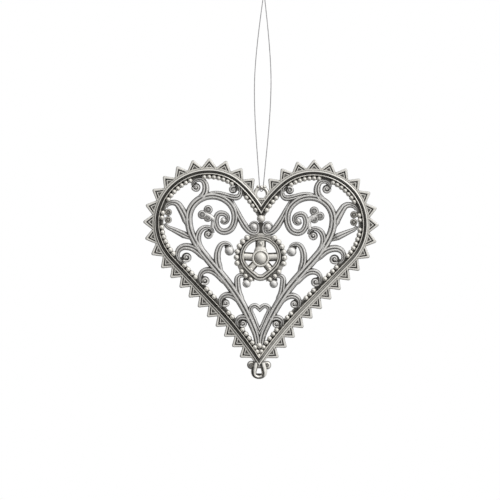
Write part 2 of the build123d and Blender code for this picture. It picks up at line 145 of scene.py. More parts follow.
class Track:
    """A wire's middle line: stations joined by pairs of tangent arcs."""

    def __init__(self, stations: Iterable[Station], lead: float = 0.0) -> None:
        """Joins the stations.

        Args:
            stations: Grid places with headings in degrees.
            lead: Straight run added before the first station and after the last.
        """
        marks = [(u, v, math.radians(heading)) for u, v, heading in stations]
        self.bends: list[Bend] = []
        if lead:
            u, v, heading = marks[0]
            back = (u - lead * math.cos(heading), v - lead * math.sin(heading))
            self.bends.append(Bend(*back, heading, lead, 0.0))
        for start, end in zip(marks, marks[1:]):
            middle = self._meeting(start, end)
            first = self._arc(start, middle)
            self.bends.append(first)
            self.bends.append(self._arc(first.at(first.length), end[:2]))
        if lead:
            self.bends.append(Bend(*marks[-1], lead, 0.0))
        self.length = sum(bend.length for bend in self.bends)

    @staticmethod
    def _meeting(start: Station, end: Station) -> Corner:
        """Finds where the two arcs between a pair of stations meet.

        Args:
            start: First station, its heading in radians.
            end: Second station, its heading in radians.

        Returns:
            The meeting place in the grid.
        """
        away = Vector((math.cos(start[2]), math.sin(start[2])))
        into = Vector((math.cos(end[2]), math.sin(end[2])))
        chord = Vector(end[:2]) - Vector(start[:2])
        along = chord.dot(away + into)
        spread = 2 - 2 * away.dot(into)
        if spread < STRAIGHT:
            reach = chord.length_squared / (2 * along)
        else:
            reach = (math.sqrt(along**2 + spread * chord.length_squared) - along) / spread
        middle = (Vector(start[:2]) + Vector(end[:2]) + reach * (away - into)) / 2
        return (middle.x, middle.y)

    @staticmethod
    def _arc(start: Station, end: Corner) -> Bend:
        """Makes the arc that leaves a place along its heading and reaches another.

        Args:
            start: Place and heading in radians.
            end: Place to reach.

        Returns:
            The arc.
        """
        across, up = end[0] - start[0], end[1] - start[1]
        chord = math.hypot(across, up)
        half = math.remainder(math.atan2(up, across) - start[2], math.tau)
        stretch = half / math.sin(half) if abs(half) > STRAIGHT else 1.0
        return Bend(*start, chord * stretch, 2 * half)

    def at(self, along: float, out: float = 0.0) -> Station:
        """Gives a place beside the line.

        Args:
            along: Distance along the line in grid squares.
            out: Distance to the left of the heading in grid squares.

        Returns:
            The place and the heading in radians.
        """
        left = min(max(along, 0.0), self.length)
        for bend in self.bends:
            if left <= bend.length:
                break
            left -= bend.length
        u, v, heading = bend.at(min(left, bend.length))
        return (u - out * math.sin(heading), v + out * math.cos(heading), heading)

    def distance(self, u: float, v: float, step: float = 0.7) -> float:
        """Measures how far a place lies from the line.

        Args:
            u: Place across, in grid squares.
            v: Place up, in grid squares.
            step: How close the measured points of the line lie, in grid squares.

        Returns:
            The distance in grid squares.
        """
        count = max(2, math.ceil(self.length / step))
        marks = (self.at(self.length * i / count) for i in range(count + 1))
        return min(math.hypot(u - mark[0], v - mark[1]) for mark in marks)


class Bench:
    """The workbench: selecting, editing, joining and mirroring pieces with Blender's operators."""

    # Metres within which points merge, mirrored points merge and a cut finds its points
    MERGE = 1e-6
    MIRROR_MERGE = 2e-6
    CUT_FINENESS = 1e-7

    # How far a face's normal goes along an axis that it faces
    FACING = 0.999

    @staticmethod
    def clear() -> None:
        """Deselects everything, so that the next operator acts on its own piece alone."""
        bpy.ops.object.select_all(action="DESELECT")

    @staticmethod
    def active() -> bpy.types.Object:
        """Gives the piece that the last operator made or left active."""
        return bpy.context.view_layer.objects.active

    @staticmethod
    def pick(*pieces: bpy.types.Object) -> None:
        """Selects some pieces alone.

        Args:
            pieces: The pieces, of which the first becomes active.
        """
        Bench.clear()
        for piece in pieces:
            piece.select_set(True)
        bpy.context.view_layer.objects.active = pieces[0]

    @staticmethod
    @contextmanager
    def editing(piece: bpy.types.Object) -> Iterator[bmesh.types.BMesh]:
        """Opens a piece in edit mode.

        Args:
            piece: The mesh to edit.

        Returns:
            The mesh being edited, for choosing faces and edges.
        """
        Bench.pick(piece)
        bpy.ops.object.mode_set(mode="EDIT")
        bpy.ops.mesh.select_mode(type="FACE")
        yield bmesh.from_edit_mesh(piece.data)
        bpy.ops.object.mode_set(mode="OBJECT")

    @staticmethod
    def choose(mesh: bmesh.types.BMesh, test: Callable[[bmesh.types.BMFace], bool]) -> None:
        """Selects faces of the edited mesh.

        Args:
            mesh: The mesh in edit mode.
            test: Tells whether a face is chosen.
        """
        bpy.ops.mesh.select_all(action="DESELECT")
        for face in mesh.faces:
            face.select_set(test(face))
        mesh.select_flush_mode()

    @staticmethod
    def choose_edges(
        edges: Iterable[bmesh.types.BMEdge], test: Callable[[bmesh.types.BMEdge], bool]
    ) -> None:
        """Selects edges of the edited mesh, and leaves it in edge mode.

        Args:
            edges: The edges to choose from.
            test: Tells whether an edge is chosen.
        """
        bpy.ops.mesh.select_mode(type="EDGE")
        bpy.ops.mesh.select_all(action="DESELECT")
        for edge in edges:
            edge.select_set(test(edge))

    @staticmethod
    def carve(steps: Iterable[Corner]) -> None:
        """Insets the chosen faces step by step.

        Args:
            steps: How far each inset goes in, in grid squares, and how far it rises, in millimetres.
        """
        for inward, rise in steps:
            bpy.ops.mesh.inset(thickness=inward * GRID, depth=rise * MM)

    @staticmethod
    def settle(piece: bpy.types.Object) -> bpy.types.Object:
        """Moves a piece's place, turn and scale into its mesh.

        Args:
            piece: The piece to settle.

        Returns:
            The same piece.
        """
        Bench.pick(piece)
        bpy.ops.object.transform_apply(location=True, rotation=True, scale=True)
        return piece

    @staticmethod
    def close(piece: bpy.types.Object) -> None:
        """Merges doubled points and turns all faces outwards.

        Args:
            piece: The mesh to close.
        """
        with Bench.editing(piece):
            bpy.ops.mesh.select_all(action="SELECT")
            bpy.ops.mesh.remove_doubles(threshold=Bench.MERGE)
            bpy.ops.mesh.normals_make_consistent(inside=False)

    @staticmethod
    def join(pieces: list[bpy.types.Object]) -> bpy.types.Object:
        """Joins pieces into one object.

        Args:
            pieces: One piece or more.

        Returns:
            The joined piece.
        """
        Bench.pick(*pieces)
        if len(pieces) > 1:
            bpy.ops.object.join()
        return Bench.active()

    @staticmethod
    def copy(piece: bpy.types.Object) -> bpy.types.Object:
        """Duplicates a piece.

        Args:
            piece: The pattern.

        Returns:
            The copy, with a mesh of its own.
        """
        Bench.pick(piece)
        bpy.ops.object.duplicate(linked=False)
        return Bench.active()

    @staticmethod
    def mirrored(piece: bpy.types.Object) -> bpy.types.Object:
        """Makes the left-hand twin of a right-hand piece, its back a hair in front.

        Args:
            piece: The right-hand piece.

        Returns:
            The twin, with its faces turned outwards.
        """
        twin = Bench.copy(piece)
        twin.scale.x = -1.0
        twin.location.y = -BACK_STEP * MM
        Bench.settle(twin)
        Bench.close(twin)
        return twin

    @staticmethod
    def cut(piece: bpy.types.Object, place: Vector, normal: Vector, fill: bool) -> None:
        """Cuts off what lies in front of a plane.

        Args:
            piece: The mesh to cut.
            place: A point of the plane.
            normal: The way that the plane faces.
            fill: Whether the cut is closed.
        """
        with Bench.editing(piece):
            bpy.ops.mesh.select_all(action="SELECT")
            bpy.ops.mesh.bisect(
                plane_co=place, plane_no=normal, use_fill=fill, clear_outer=True,
                threshold=Bench.CUT_FINENESS,
            )

    @staticmethod
    def both_sides(piece: bpy.types.Object) -> bpy.types.Object:
        """Cuts a piece at the middle of the heart and adds the left half.

        Args:
            piece: A right-hand piece that reaches over the middle.

        Returns:
            The same piece, now whole.
        """
        Bench.cut(piece, Vector((0, 0, 0)), Vector((-1, 0, 0)), False)
        mirror = piece.modifiers.new("left half", "MIRROR")
        mirror.use_clip = True
        mirror.merge_threshold = Bench.MIRROR_MERGE
        Bench.pick(piece)
        bpy.ops.object.modifier_apply(modifier=mirror.name)
        Bench.close(piece)
        return piece

    @staticmethod
    def paint(piece: bpy.types.Object, wear: Callable[[int, float], float]) -> None:
        """Paints how far the patina is rubbed off, and painted shade and highlights: 0 where it stays
        dark, 1 where bare tin shows.

        Args:
            piece: The mesh to paint.
            wear: Gives the wear from a point's number and its height above the back in mm.
        """
        layer = piece.data.attributes.get(WEAR_AND_PAINTED_LIGHT) or piece.data.attributes.new(WEAR_AND_PAINTED_LIGHT, "FLOAT", "POINT")
        for i, point in enumerate(piece.data.vertices):
            height = (BACK_Y - point.co.y) / MM
            layer.data[i].value = wear(i, height)

    @staticmethod
    def paint_sheen(piece: bpy.types.Object, share: Callable[[Vector], float]) -> None:
        """Paints a highlight on a painted piece: brightens its layer towards bare tin.

        Args:
            piece: The painted mesh.
            share: Gives the share of the remaining dark that is painted bright, by a point's place.
        """
        layer = piece.data.attributes[WEAR_AND_PAINTED_LIGHT]
        for i, point in enumerate(piece.data.vertices):
            left = 1.0 - layer.data[i].value
            layer.data[i].value += left * share(point.co)

    @staticmethod
    def shade(piece: bpy.types.Object, angle: float = 38.0) -> None:
        """Shades a piece smooth, with creases where faces meet at more than an angle."""
        Bench.pick(piece)
        bpy.ops.object.shade_smooth_by_angle(angle=math.radians(angle))


class Section(Enum):
    """Cross-sections: offset from the middle line and height, as shares, and the wear there. The web
    is painted fully dark, and stands for painted shade along the spokes and under the eye's bar.
    """

    WIRE = (
        (1.08, 0.0, 0.0), (1.08, 0.1, 0.0), (0.98, 0.3, 0.0), (0.86, 0.56, 0.3),
        (0.7, 0.82, 0.8), (0.5, 0.97, 1.0), (0.3, 0.97, 0.95), (0.14, 0.85, 0.4), (0.0, 0.77, 0.08),
    )
    ROUND = (
        (1.0, 0.0, 0.0), (1.0, 0.3, 0.1), (0.94, 0.55, 0.4), (0.78, 0.78, 0.85),
        (0.5, 0.93, 1.0), (0.0, 1.0, 1.0),
    )
    # A low strip painted fully dark: painted shade where it lies along the spokes and under the eye's
    # bar
    WEB = ((1.0, 0.0, 0.0), (1.0, 0.8, 0.0), (0.9, 1.0, 0.0), (0.0, 1.0, 0.0))
    FLAT = (
        (1.0, 0.0, 0.1), (1.0, 0.7, 0.2), (0.95, 0.92, 0.5), (0.86, 1.0, 0.6), (0.0, 1.0, 0.5),
    )

    def edges(self, width: float, height: float) -> list[Edge]:
        """Sizes the section, with its foot a hair off the back by its width.

        Args:
            width: Full width in grid squares.
            height: Height in millimetres.

        Returns:
            Corners in metres with their wear, from the left foot to the right.
        """
        foot = BACK_STEP * width
        right = [
            (x * width / 2 * GRID, max(y * height, foot) * MM, wear) for x, y, wear in self.value
        ]
        left = [(-x, y, wear) for x, y, wear in right[:-1]]
        return left + right[::-1]


class WireBender:
    """Sweeps cross-sections along tracks, and melts domes and dished lobes onto the work."""

    CURVE_STEPS = 8
    DOME_SIDES = 28
    DOME_RINGS = 18

    # A dome's wear: where it starts as a share of the belly, its run as a share of the top, its most
    DOME_DARK = 0.5
    DOME_RUN = 0.8
    DOME_MOST = 0.9

    # A dished lobe: belly, dimple's depth, and where its wear starts and ends, as shares of the top
    LOBE_BELLY = 0.4
    DIMPLE_DEPTH = 0.3
    LOBE_DARK = 0.55
    LOBE_BRIGHT = 0.9

    # Width of a dimple's wall, as a share of the dimple's radius
    DIMPLE_WALL = 0.3

    @staticmethod
    def sweep(
        track: Track, edges: list[Edge], swell: Swell = lambda share: 1.0
    ) -> bpy.types.Object:
        """Draws a track as a bevelled curve and makes it a mesh.

        Args:
            track: The middle line.
            edges: The closed cross-section in metres, with the wear at its corners.
            swell: Thickness as a share of the section, by share of the length.

        Returns:
            The closed mesh, standing on the back plane.
        """
        Bench.clear()
        bpy.ops.curve.primitive_nurbs_path_add()
        section = Bench.active()
        section.data.dimensions = "2D"
        section.data.splines.clear()
        outline = section.data.splines.new("POLY")
        outline.points.add(len(edges) - 1)
        for point, (across, up, _) in zip(outline.points, edges):
            point.co = (across, up, 0, 1)
        outline.use_cyclic_u = True
        Bench.clear()
        bpy.ops.curve.primitive_bezier_curve_add(
            rotation=(math.pi / 2, 0, 0), location=spot(0, 0)
        )
        wire = Bench.active()
        wire.data.dimensions = "2D"
        wire.data.fill_mode = "NONE"
        wire.data.bevel_mode = "OBJECT"
        wire.data.bevel_object = section
        wire.data.use_fill_caps = True
        wire.data.resolution_u = WireBender.CURVE_STEPS
        WireBender._draw(wire.data.splines[0], track, swell)
        Bench.pick(wire)
        bpy.ops.object.convert(target="MESH")
        piece = Bench.settle(Bench.active())
        Bench.paint(piece, lambda i, height: edges[i % len(edges)][2])
        Bench.close(piece)
        bpy.data.objects.remove(section)
        return piece

    @staticmethod
    def _draw(spline: bpy.types.Spline, track: Track, swell: Swell) -> None:
        """Sets a spline's points on the joints of a track, with handles that follow its arcs.

        Args:
            spline: The Bezier spline to draw with.
            track: The line to follow.
            swell: Thickness by share of the length.
        """
        points = spline.bezier_points
        points.add(len(track.bends) + 1 - len(points))
        ends = [bend.at(0) for bend in track.bends]
        ends.append(track.bends[-1].at(track.bends[-1].length))
        gone = 0.0
        for i, (u, v, heading) in enumerate(ends):
            before = track.bends[max(i - 1, 0)].handle()
            after = track.bends[min(i, len(track.bends) - 1)].handle()
            forward = Vector((math.cos(heading), math.sin(heading), 0))
            here = Vector((u, v, 0))
            points[i].handle_left_type = "FREE"
            points[i].handle_right_type = "FREE"
            points[i].co = here * GRID
            points[i].handle_left = (here - forward * before) * GRID
            points[i].handle_right = (here + forward * after) * GRID
            points[i].radius = swell(gone / track.length)
            if i < len(track.bends):
                gone += track.bends[i].length

    @staticmethod
    def dome(u: float, v: float, radius: float, top: float, belly: float) -> bpy.types.Object:
        """Melts a drop onto the work: a rounded dome over a bowl that reaches the back.

        Args:
            u: Place across, in grid squares.
            v: Place up, in grid squares.
            radius: Radius in grid squares.
            top: Height of its crown in millimetres.
            belly: Height of its widest part in millimetres.

        Returns:
            The closed mesh.
        """
        middle = spot(u, v, belly)
        Bench.clear()
        bpy.ops.mesh.primitive_uv_sphere_add(
            segments=WireBender.DOME_SIDES,
            ring_count=WireBender.DOME_RINGS,
            radius=1.0,
            location=middle,
            rotation=(math.pi / 2, 0, 0),
            scale=(radius * GRID, radius * GRID, (top - belly) * MM),
        )
        drop = Bench.settle(Bench.active())
        with Bench.editing(drop) as mesh:
            Bench.choose(mesh, lambda face: face.calc_center_median().y > middle.y)
            bpy.ops.transform.resize(value=(1, belly / (top - belly), 1), center_override=middle)
        Bench.close(drop)
        dark = WireBender.DOME_DARK * belly
        bright = dark + WireBender.DOME_RUN * top
        Bench.paint(drop, lambda i, height: min(risen(height, dark, bright), WireBender.DOME_MOST))
        return drop

    @staticmethod
    def dished(u: float, v: float, radius: float, top: float, dimple: float) -> bpy.types.Object:
        """Makes a low dome with a sunk middle.

        Args:
            u: Place across, in grid squares.
            v: Place up, in grid squares.
            radius: Radius in grid squares.
            top: Height of its shoulder in millimetres.
            dimple: Radius of the sunk middle as a share of the whole.

        Returns:
            The closed mesh, bright on its shoulder and dark in its dimple.
        """
        lobe = WireBender.dome(u, v, radius, top, WireBender.LOBE_BELLY * top)
        middle, rim = spot(u, v), dimple * radius * GRID

        def sunk(face: bmesh.types.BMFace) -> bool:
            """Tells whether a face lies in the dimple."""
            away = face.calc_center_median() - middle
            return face.normal.y < 0 and math.hypot(away.x, away.z) < rim

        with Bench.editing(lobe) as mesh:
            Bench.choose(mesh, sunk)
            bpy.ops.mesh.inset(thickness=WireBender.DIMPLE_WALL * rim)
            bpy.ops.transform.translate(value=(0, WireBender.DIMPLE_DEPTH * top * MM, 0))
        dark, bright = WireBender.LOBE_DARK * top, WireBender.LOBE_BRIGHT * top
        Bench.paint(lobe, lambda i, height: risen(height, dark, bright))
        return lobe


@dataclass(frozen=True)
class Strand:
    """A bent wire of the right half: sizes in grid squares and millimetres.

    The ball is the melted end. With a coil, the end is wound up round the ball's middle instead,
    from the first angle by the second. The nook is the dark seat in the wire's bend.
    """

    name: str
    width: float
    height: float
    stations: tuple[Station, ...]
    swell: tuple[Corner, ...] = ((0.0, 1.0), (1.0, 1.0))
    ball: Disc | None = None
    nook: Disc | None = None
    coil: Corner | None = None

    def track(self) -> Track:
        """Gives the wire's middle line."""
        return Track(self.stations)

    def thickness(self, share: float) -> float:
        """Gives the wire's thickness.

        Args:
            share: Where along the wire, as a share of its length.

        Returns:
            The thickness as a share of the full section.
        """
        for (low, thin), (high, thick) in zip(self.swell, self.swell[1:]):
            if share <= high:
                return thin + (thick - thin) * (share - low) / (high - low)
        return self.swell[-1][1]


@dataclass(frozen=True)
class Granule:
    """A melted granule on a ledge: modelled once, and copied to every place of its row.

    The radius is in grid squares, the seat and the bite into it are in millimetres, and the lift
    and the rise over which it brightens are shares of the radius.
    """

    radius: float
    seat: float
    fineness: int = 3
    lift: float = 0.3
    bite: float = 0.1
    bright_rise: float = 1.1

    def row(self, places: Iterable[Corner]) -> list[bpy.types.Object]:
        """Melts a row of granules.

        Args:
            places: Their places in the grid.

        Returns:
            The granules, each with a mesh of its own.
        """
        pattern = self._pattern()
        grains = []
        for u, v in places:
            grain = Bench.copy(pattern)
            grain.location = (u * GRID, 0, v * GRID)
            grains.append(Bench.settle(grain))
        bpy.data.objects.remove(pattern)
        return grains

    def _pattern(self) -> bpy.types.Object:
        """Models one granule at the middle of the grid: a ball cut off just under its ledge.

        Returns:
            The closed mesh.
        """
        size = self.radius * GRID
        Bench.clear()
        bpy.ops.mesh.primitive_ico_sphere_add(
            subdivisions=self.fineness,
            radius=size,
            location=spot(0, 0, self.seat) - Vector((0, self.lift * size, 0)),
        )
        grain = Bench.settle(Bench.active())
        Bench.cut(grain, spot(0, 0, self.seat - self.bite), Vector((0, 1, 0)), True)
        bright = self.seat + self.bright_rise * size / MM
        Bench.paint(grain, lambda i, height: risen(height, self.seat, bright))
        return grain


class Shade:
    """A shader value: arithmetic on it adds Math nodes."""

    def __init__(self, board: "NodeBoard", socket: bpy.types.NodeSocket) -> None:
        """Wraps a node's output."""
        self.board = board
        self.socket = socket

    def _math(self, operation: str, first: "Shade | float", second: "Shade | float") -> "Shade":
        """Adds one Math node."""
        node = self.board.add("ShaderNodeMath", {"operation": operation}, {0: first, 1: second})
        return Shade(self.board, node.outputs[0])

    def __add__(self, other: "Shade | float") -> "Shade":
        """Adds."""
        return self._math("ADD", self, other)

    def __radd__(self, other: float) -> "Shade":
        """Adds to a number."""
        return self._math("ADD", other, self)

    def __sub__(self, other: "Shade | float") -> "Shade":
        """Subtracts."""
        return self._math("SUBTRACT", self, other)

    def __rsub__(self, other: float) -> "Shade":
        """Subtracts from a number."""
        return self._math("SUBTRACT", other, self)

    def __mul__(self, other: "Shade | float") -> "Shade":
        """Multiplies."""
        return self._math("MULTIPLY", self, other)

    def __rmul__(self, other: float) -> "Shade":
        """Multiplies a number."""
        return self._math("MULTIPLY", other, self)

    def step(self, low: float, high: float, start: float = 0.0, end: float = 1.0) -> "Shade":
        """Eases from one value to another between two limits.

        Args:
            low: Where the change starts.
            high: Where it ends.
            start: Value up to low.
            end: Value from high on.

        Returns:
            The eased value.
        """
        node = self.board.add(
            "ShaderNodeMapRange",
            {"interpolation_type": "SMOOTHSTEP", "clamp": True},
            {"Value": self, "From Min": low, "From Max": high, "To Min": start, "To Max": end},
        )
        return Shade(self.board, node.outputs[0])


class NodeBoard:
    """Adds nodes to a node tree."""

    def __init__(self, tree: bpy.types.NodeTree) -> None:
        """Starts on an emptied tree."""
        self.tree = tree
        tree.nodes.clear()

    @classmethod
    def material(cls, name: str) -> tuple[bpy.types.Material, "NodeBoard"]:
        """Starts a material.

        Args:
            name: The material's name.

        Returns:
            The material and the board of its nodes.
        """
        made = bpy.data.materials.new(name)
        made.use_nodes = True
        return made, cls(made.node_tree)

    def add(
        self, kind: str, settings: dict[str, object] | None = None,
        inputs: dict[str | int, object] | None = None,
    ) -> bpy.types.Node:
        """Adds one node.

        Args:
            kind: The node's type.
            settings: Its own settings, set first; stops are a ramp's places and greys.
            inputs: Values or links of its sockets, by name or number.

        Returns:
            The node.
        """
        node = self.tree.nodes.new(kind)
        for name, value in (settings or {}).items():
            if name == "stops":
                self._set_stops(node.color_ramp, value)
            else:
                setattr(node, name, value)
        for key, value in (inputs or {}).items():
            socket = node.inputs[key]
            if isinstance(value, Shade):
                self.tree.links.new(value.socket, socket)
            elif isinstance(value, bpy.types.NodeSocket):
                self.tree.links.new(value, socket)
            else:
                socket.default_value = value
        return node

    @staticmethod
    def _set_stops(ramp: bpy.types.ColorRamp, stops: tuple[Corner, ...]) -> None:
        """Sets a grey ramp's stops.

        Args:
            ramp: The ramp, with two stops or more.
            stops: Places and greys.
        """
        while len(ramp.elements) < len(stops):
            ramp.elements.new(1.0)
        for element, (place, grey) in zip(ramp.elements, stops):
            element.position = place
            element.color = (grey, grey, grey, 1.0)

    def shade(self, node: bpy.types.Node, output: str | int = 0) -> Shade:
        """Wraps a node's output as a shader value."""
        return Shade(self, node.outputs[output])

    def mix(self, factor: Shade, low: object, high: object) -> bpy.types.NodeSocket:
        """Mixes two colours by a factor."""
        node = self.add("ShaderNodeMix", {"data_type": "RGBA"}, {0: factor, 6: low, 7: high})
        return node.outputs[2]

    def noise(self, place: bpy.types.NodeSocket, scale: float, detail: float) -> Shade:
        """Adds a noise of a given fineness."""
        inputs = {"Vector": place, "Scale": scale, "Detail": detail}
        return self.shade(self.add("ShaderNodeTexNoise", inputs=inputs), "Fac")


@dataclass(frozen=True)
class TinFinish:
    """Antiqued tin: bright where it is rubbed and where a highlight is painted, dark where the patina
    stayed and where shade is painted.
    """

    slot: str
    polish: float = 0.34
    relief: float = 0.22
    metal: float = 0.85
    grime: float = 0.5
    crest: Colour = (0.93, 0.906, 0.846, 1.0)
    recess: Colour = (0.041, 0.038, 0.033, 1.0)
    blotch_scale: float = 420.0
    blotch_detail: float = 4.0
    blotch_middle: float = 0.4
    blotch_share: float = 0.35
    grain_scale: float = 2600.0
    grain_detail: float = 3.0
    grain_share: float = 0.3
    painted_share: float = 0.9
    hollow_reach: float = 1.3 * MM
    hollow_samples: int = 8
    hollow_range: Corner = (0.3, 0.85)
    hollow_share: float = 0.8
    back_range: Corner = (0.6, 0.9)
    back_wear: float = 0.55
    worn_range: Corner = (-0.1, 0.9)
    dull_grime: float = 0.2
    dull_grain: float = 0.16
    relief_depth: float = 0.09 * MM
    relief_grain: float = 0.6
    metal_full: float = 0.5

    def material(self) -> bpy.types.Material:
        """Builds the finish.

        Returns:
            The material.
        """
        made, board = NodeBoard.material(f"antique_{self.slot}")
        coordinates = board.add("ShaderNodeTexCoord")
        place = coordinates.outputs["Object"]
        blotch = board.noise(place, self.blotch_scale, self.blotch_detail)
        grain = board.noise(place, self.grain_scale, self.grain_detail)
        worn = self._worn(board, coordinates.outputs["Normal"], blotch, grain)
        bump = board.add(
            "ShaderNodeBump",
            inputs={
                "Strength": self.relief,
                "Distance": self.relief_depth,
                "Height": grain * self.relief_grain + blotch * (1.0 - self.relief_grain),
            },
        )
        dull = (1.0 - worn) * self.dull_grime + (grain - 0.5) * self.dull_grain
        shader = board.add(
            "ShaderNodeBsdfPrincipled",
            inputs={
                "Base Color": board.mix(worn, self.recess, self.crest),
                "Metallic": worn.step(0.0, self.metal_full, self.grime, self.metal),
                "Roughness": self.polish + dull,
                "Normal": bump.outputs["Normal"],
            },
        )
        board.add("ShaderNodeOutputMaterial", inputs={"Surface": shader.outputs[0]})
        return made

    def _worn(
        self, board: NodeBoard, normal: bpy.types.NodeSocket, blotch: Shade, grain: Shade
    ) -> Shade:
        """Works out where the patina is rubbed off.

        Args:
            board: The material's nodes.
            normal: The way the surface faces in the object's own space.
            blotch: Coarse noise.
            grain: Fine noise.

        Returns:
            The wear: from the paint, less in blotches, grains and hollows, and plain on the back.
        """
        painted = board.shade(board.add("ShaderNodeAttribute", {"attribute_name": WEAR_AND_PAINTED_LIGHT}), "Fac")
        hollow = board.add(
            "ShaderNodeAmbientOcclusion",
            {"samples": self.hollow_samples},
            {"Distance": self.hollow_reach},
        )
        open_air = board.shade(hollow, "AO").step(*self.hollow_range)
        facing = board.add("ShaderNodeSeparateXYZ", inputs={0: normal})
        back = board.shade(facing, "Y").step(*self.back_range)
        painted = painted * (1.0 - back) + back * self.back_wear
        worn = painted * self.painted_share + (blotch - self.blotch_middle) * self.blotch_share
        worn = worn * (open_air * self.hollow_share + (1.0 - self.hollow_share))
        worn = worn * (grain * self.grain_share + (1.0 - self.grain_share / 2))
        return worn.step(*self.worn_range)


@dataclass(frozen=True)
class NylonFinish:
    """Clear grey nylon thread with a soft gloss."""

    slot: str
    tone: Colour = (0.40, 0.39, 0.40, 1.0)
    dark: Colour = (0.27, 0.26, 0.27, 1.0)
    fibre_scale: float = 900.0
    fibre_detail: float = 3.0
    fibre_range: Corner = (0.35, 0.65)
    polish: float = 0.3
    dull_fibre: float = 0.2

    def material(self) -> bpy.types.Material:
        """Builds the finish.

        Returns:
            The material.
        """
        made, board = NodeBoard.material("grey_nylon")
        place = board.add("ShaderNodeTexCoord").outputs["Object"]
        fibre = board.noise(place, self.fibre_scale, self.fibre_detail)
        shader = board.add(
            "ShaderNodeBsdfPrincipled",
            inputs={
                "Base Color": board.mix(fibre.step(*self.fibre_range), self.dark, self.tone),
                "Roughness": self.polish + fibre * self.dull_fibre,
            },
        )
        board.add("ShaderNodeOutputMaterial", inputs={"Surface": shader.outputs[0]})
        return made


class Finishes:
    """The finishes of the record's slots, each made once."""

    ALL: tuple[TinFinish | NylonFinish, ...] = (
        TinFinish("border_tin", polish=0.36),
        TinFinish("rim_tin", polish=0.2, relief=0.06, metal=1.0, grime=0.9),
        TinFinish("scroll_tin", polish=0.44, crest=(0.925, 0.912, 0.888, 1.0)),
        TinFinish("rosette_tin", polish=0.42),
        TinFinish("granule_tin", polish=0.42),
        NylonFinish("thread"),
    )

    def __init__(self) -> None:
        """Starts with no finish made."""
        self._made: dict[str, bpy.types.Material] = {}

    def dress(self, piece: bpy.types.Object, slot: str) -> None:
        """Gives a piece the finish of a slot.

        Args:
            piece: The finished piece.
            slot: The record's material slot.
        """
        if slot not in self._made:
            chosen = next(finish for finish in self.ALL if finish.slot == slot)
            self._made[slot] = chosen.material()
        piece.data.materials.clear()
        piece.data.materials.append(self._made[slot])


@dataclass
class Assembly:
    """What every sub-assembly does with its finished pieces.

    Sizes in the plane are in grid squares, heights in millimetres and headings in degrees.
    """

    finishes: Finishes
    done: list[bpy.types.Object] = field(default_factory=list)

    def fit(self, piece: bpy.types.Object, node: str, slot: str) -> None:
        """Puts a finished piece of the heart in the place of its solid.

        Args:
            piece: The finished mesh.
            node: The solid that it stands for.
            slot: Its material slot.
        """
        piece.name = f"{node}_tin"
        piece.data.name = piece.name
        Bench.shade(piece)
        self.finishes.dress(piece, slot)
        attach(piece, "heart")
        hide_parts(node)
        self.done.append(piece)

    def fit_pair(self, piece: bpy.types.Object, name: str, slot: str) -> None:
        """Fits a right-hand piece and its left-hand twin.

        Args:
            piece: The right-hand piece.
            name: What the names of both solids start with.
            slot: The material slot of both.
        """
        twin = Bench.mirrored(piece)
        self.fit(piece, f"{name}_right", slot)
        self.fit(twin, f"{name}_left", slot)


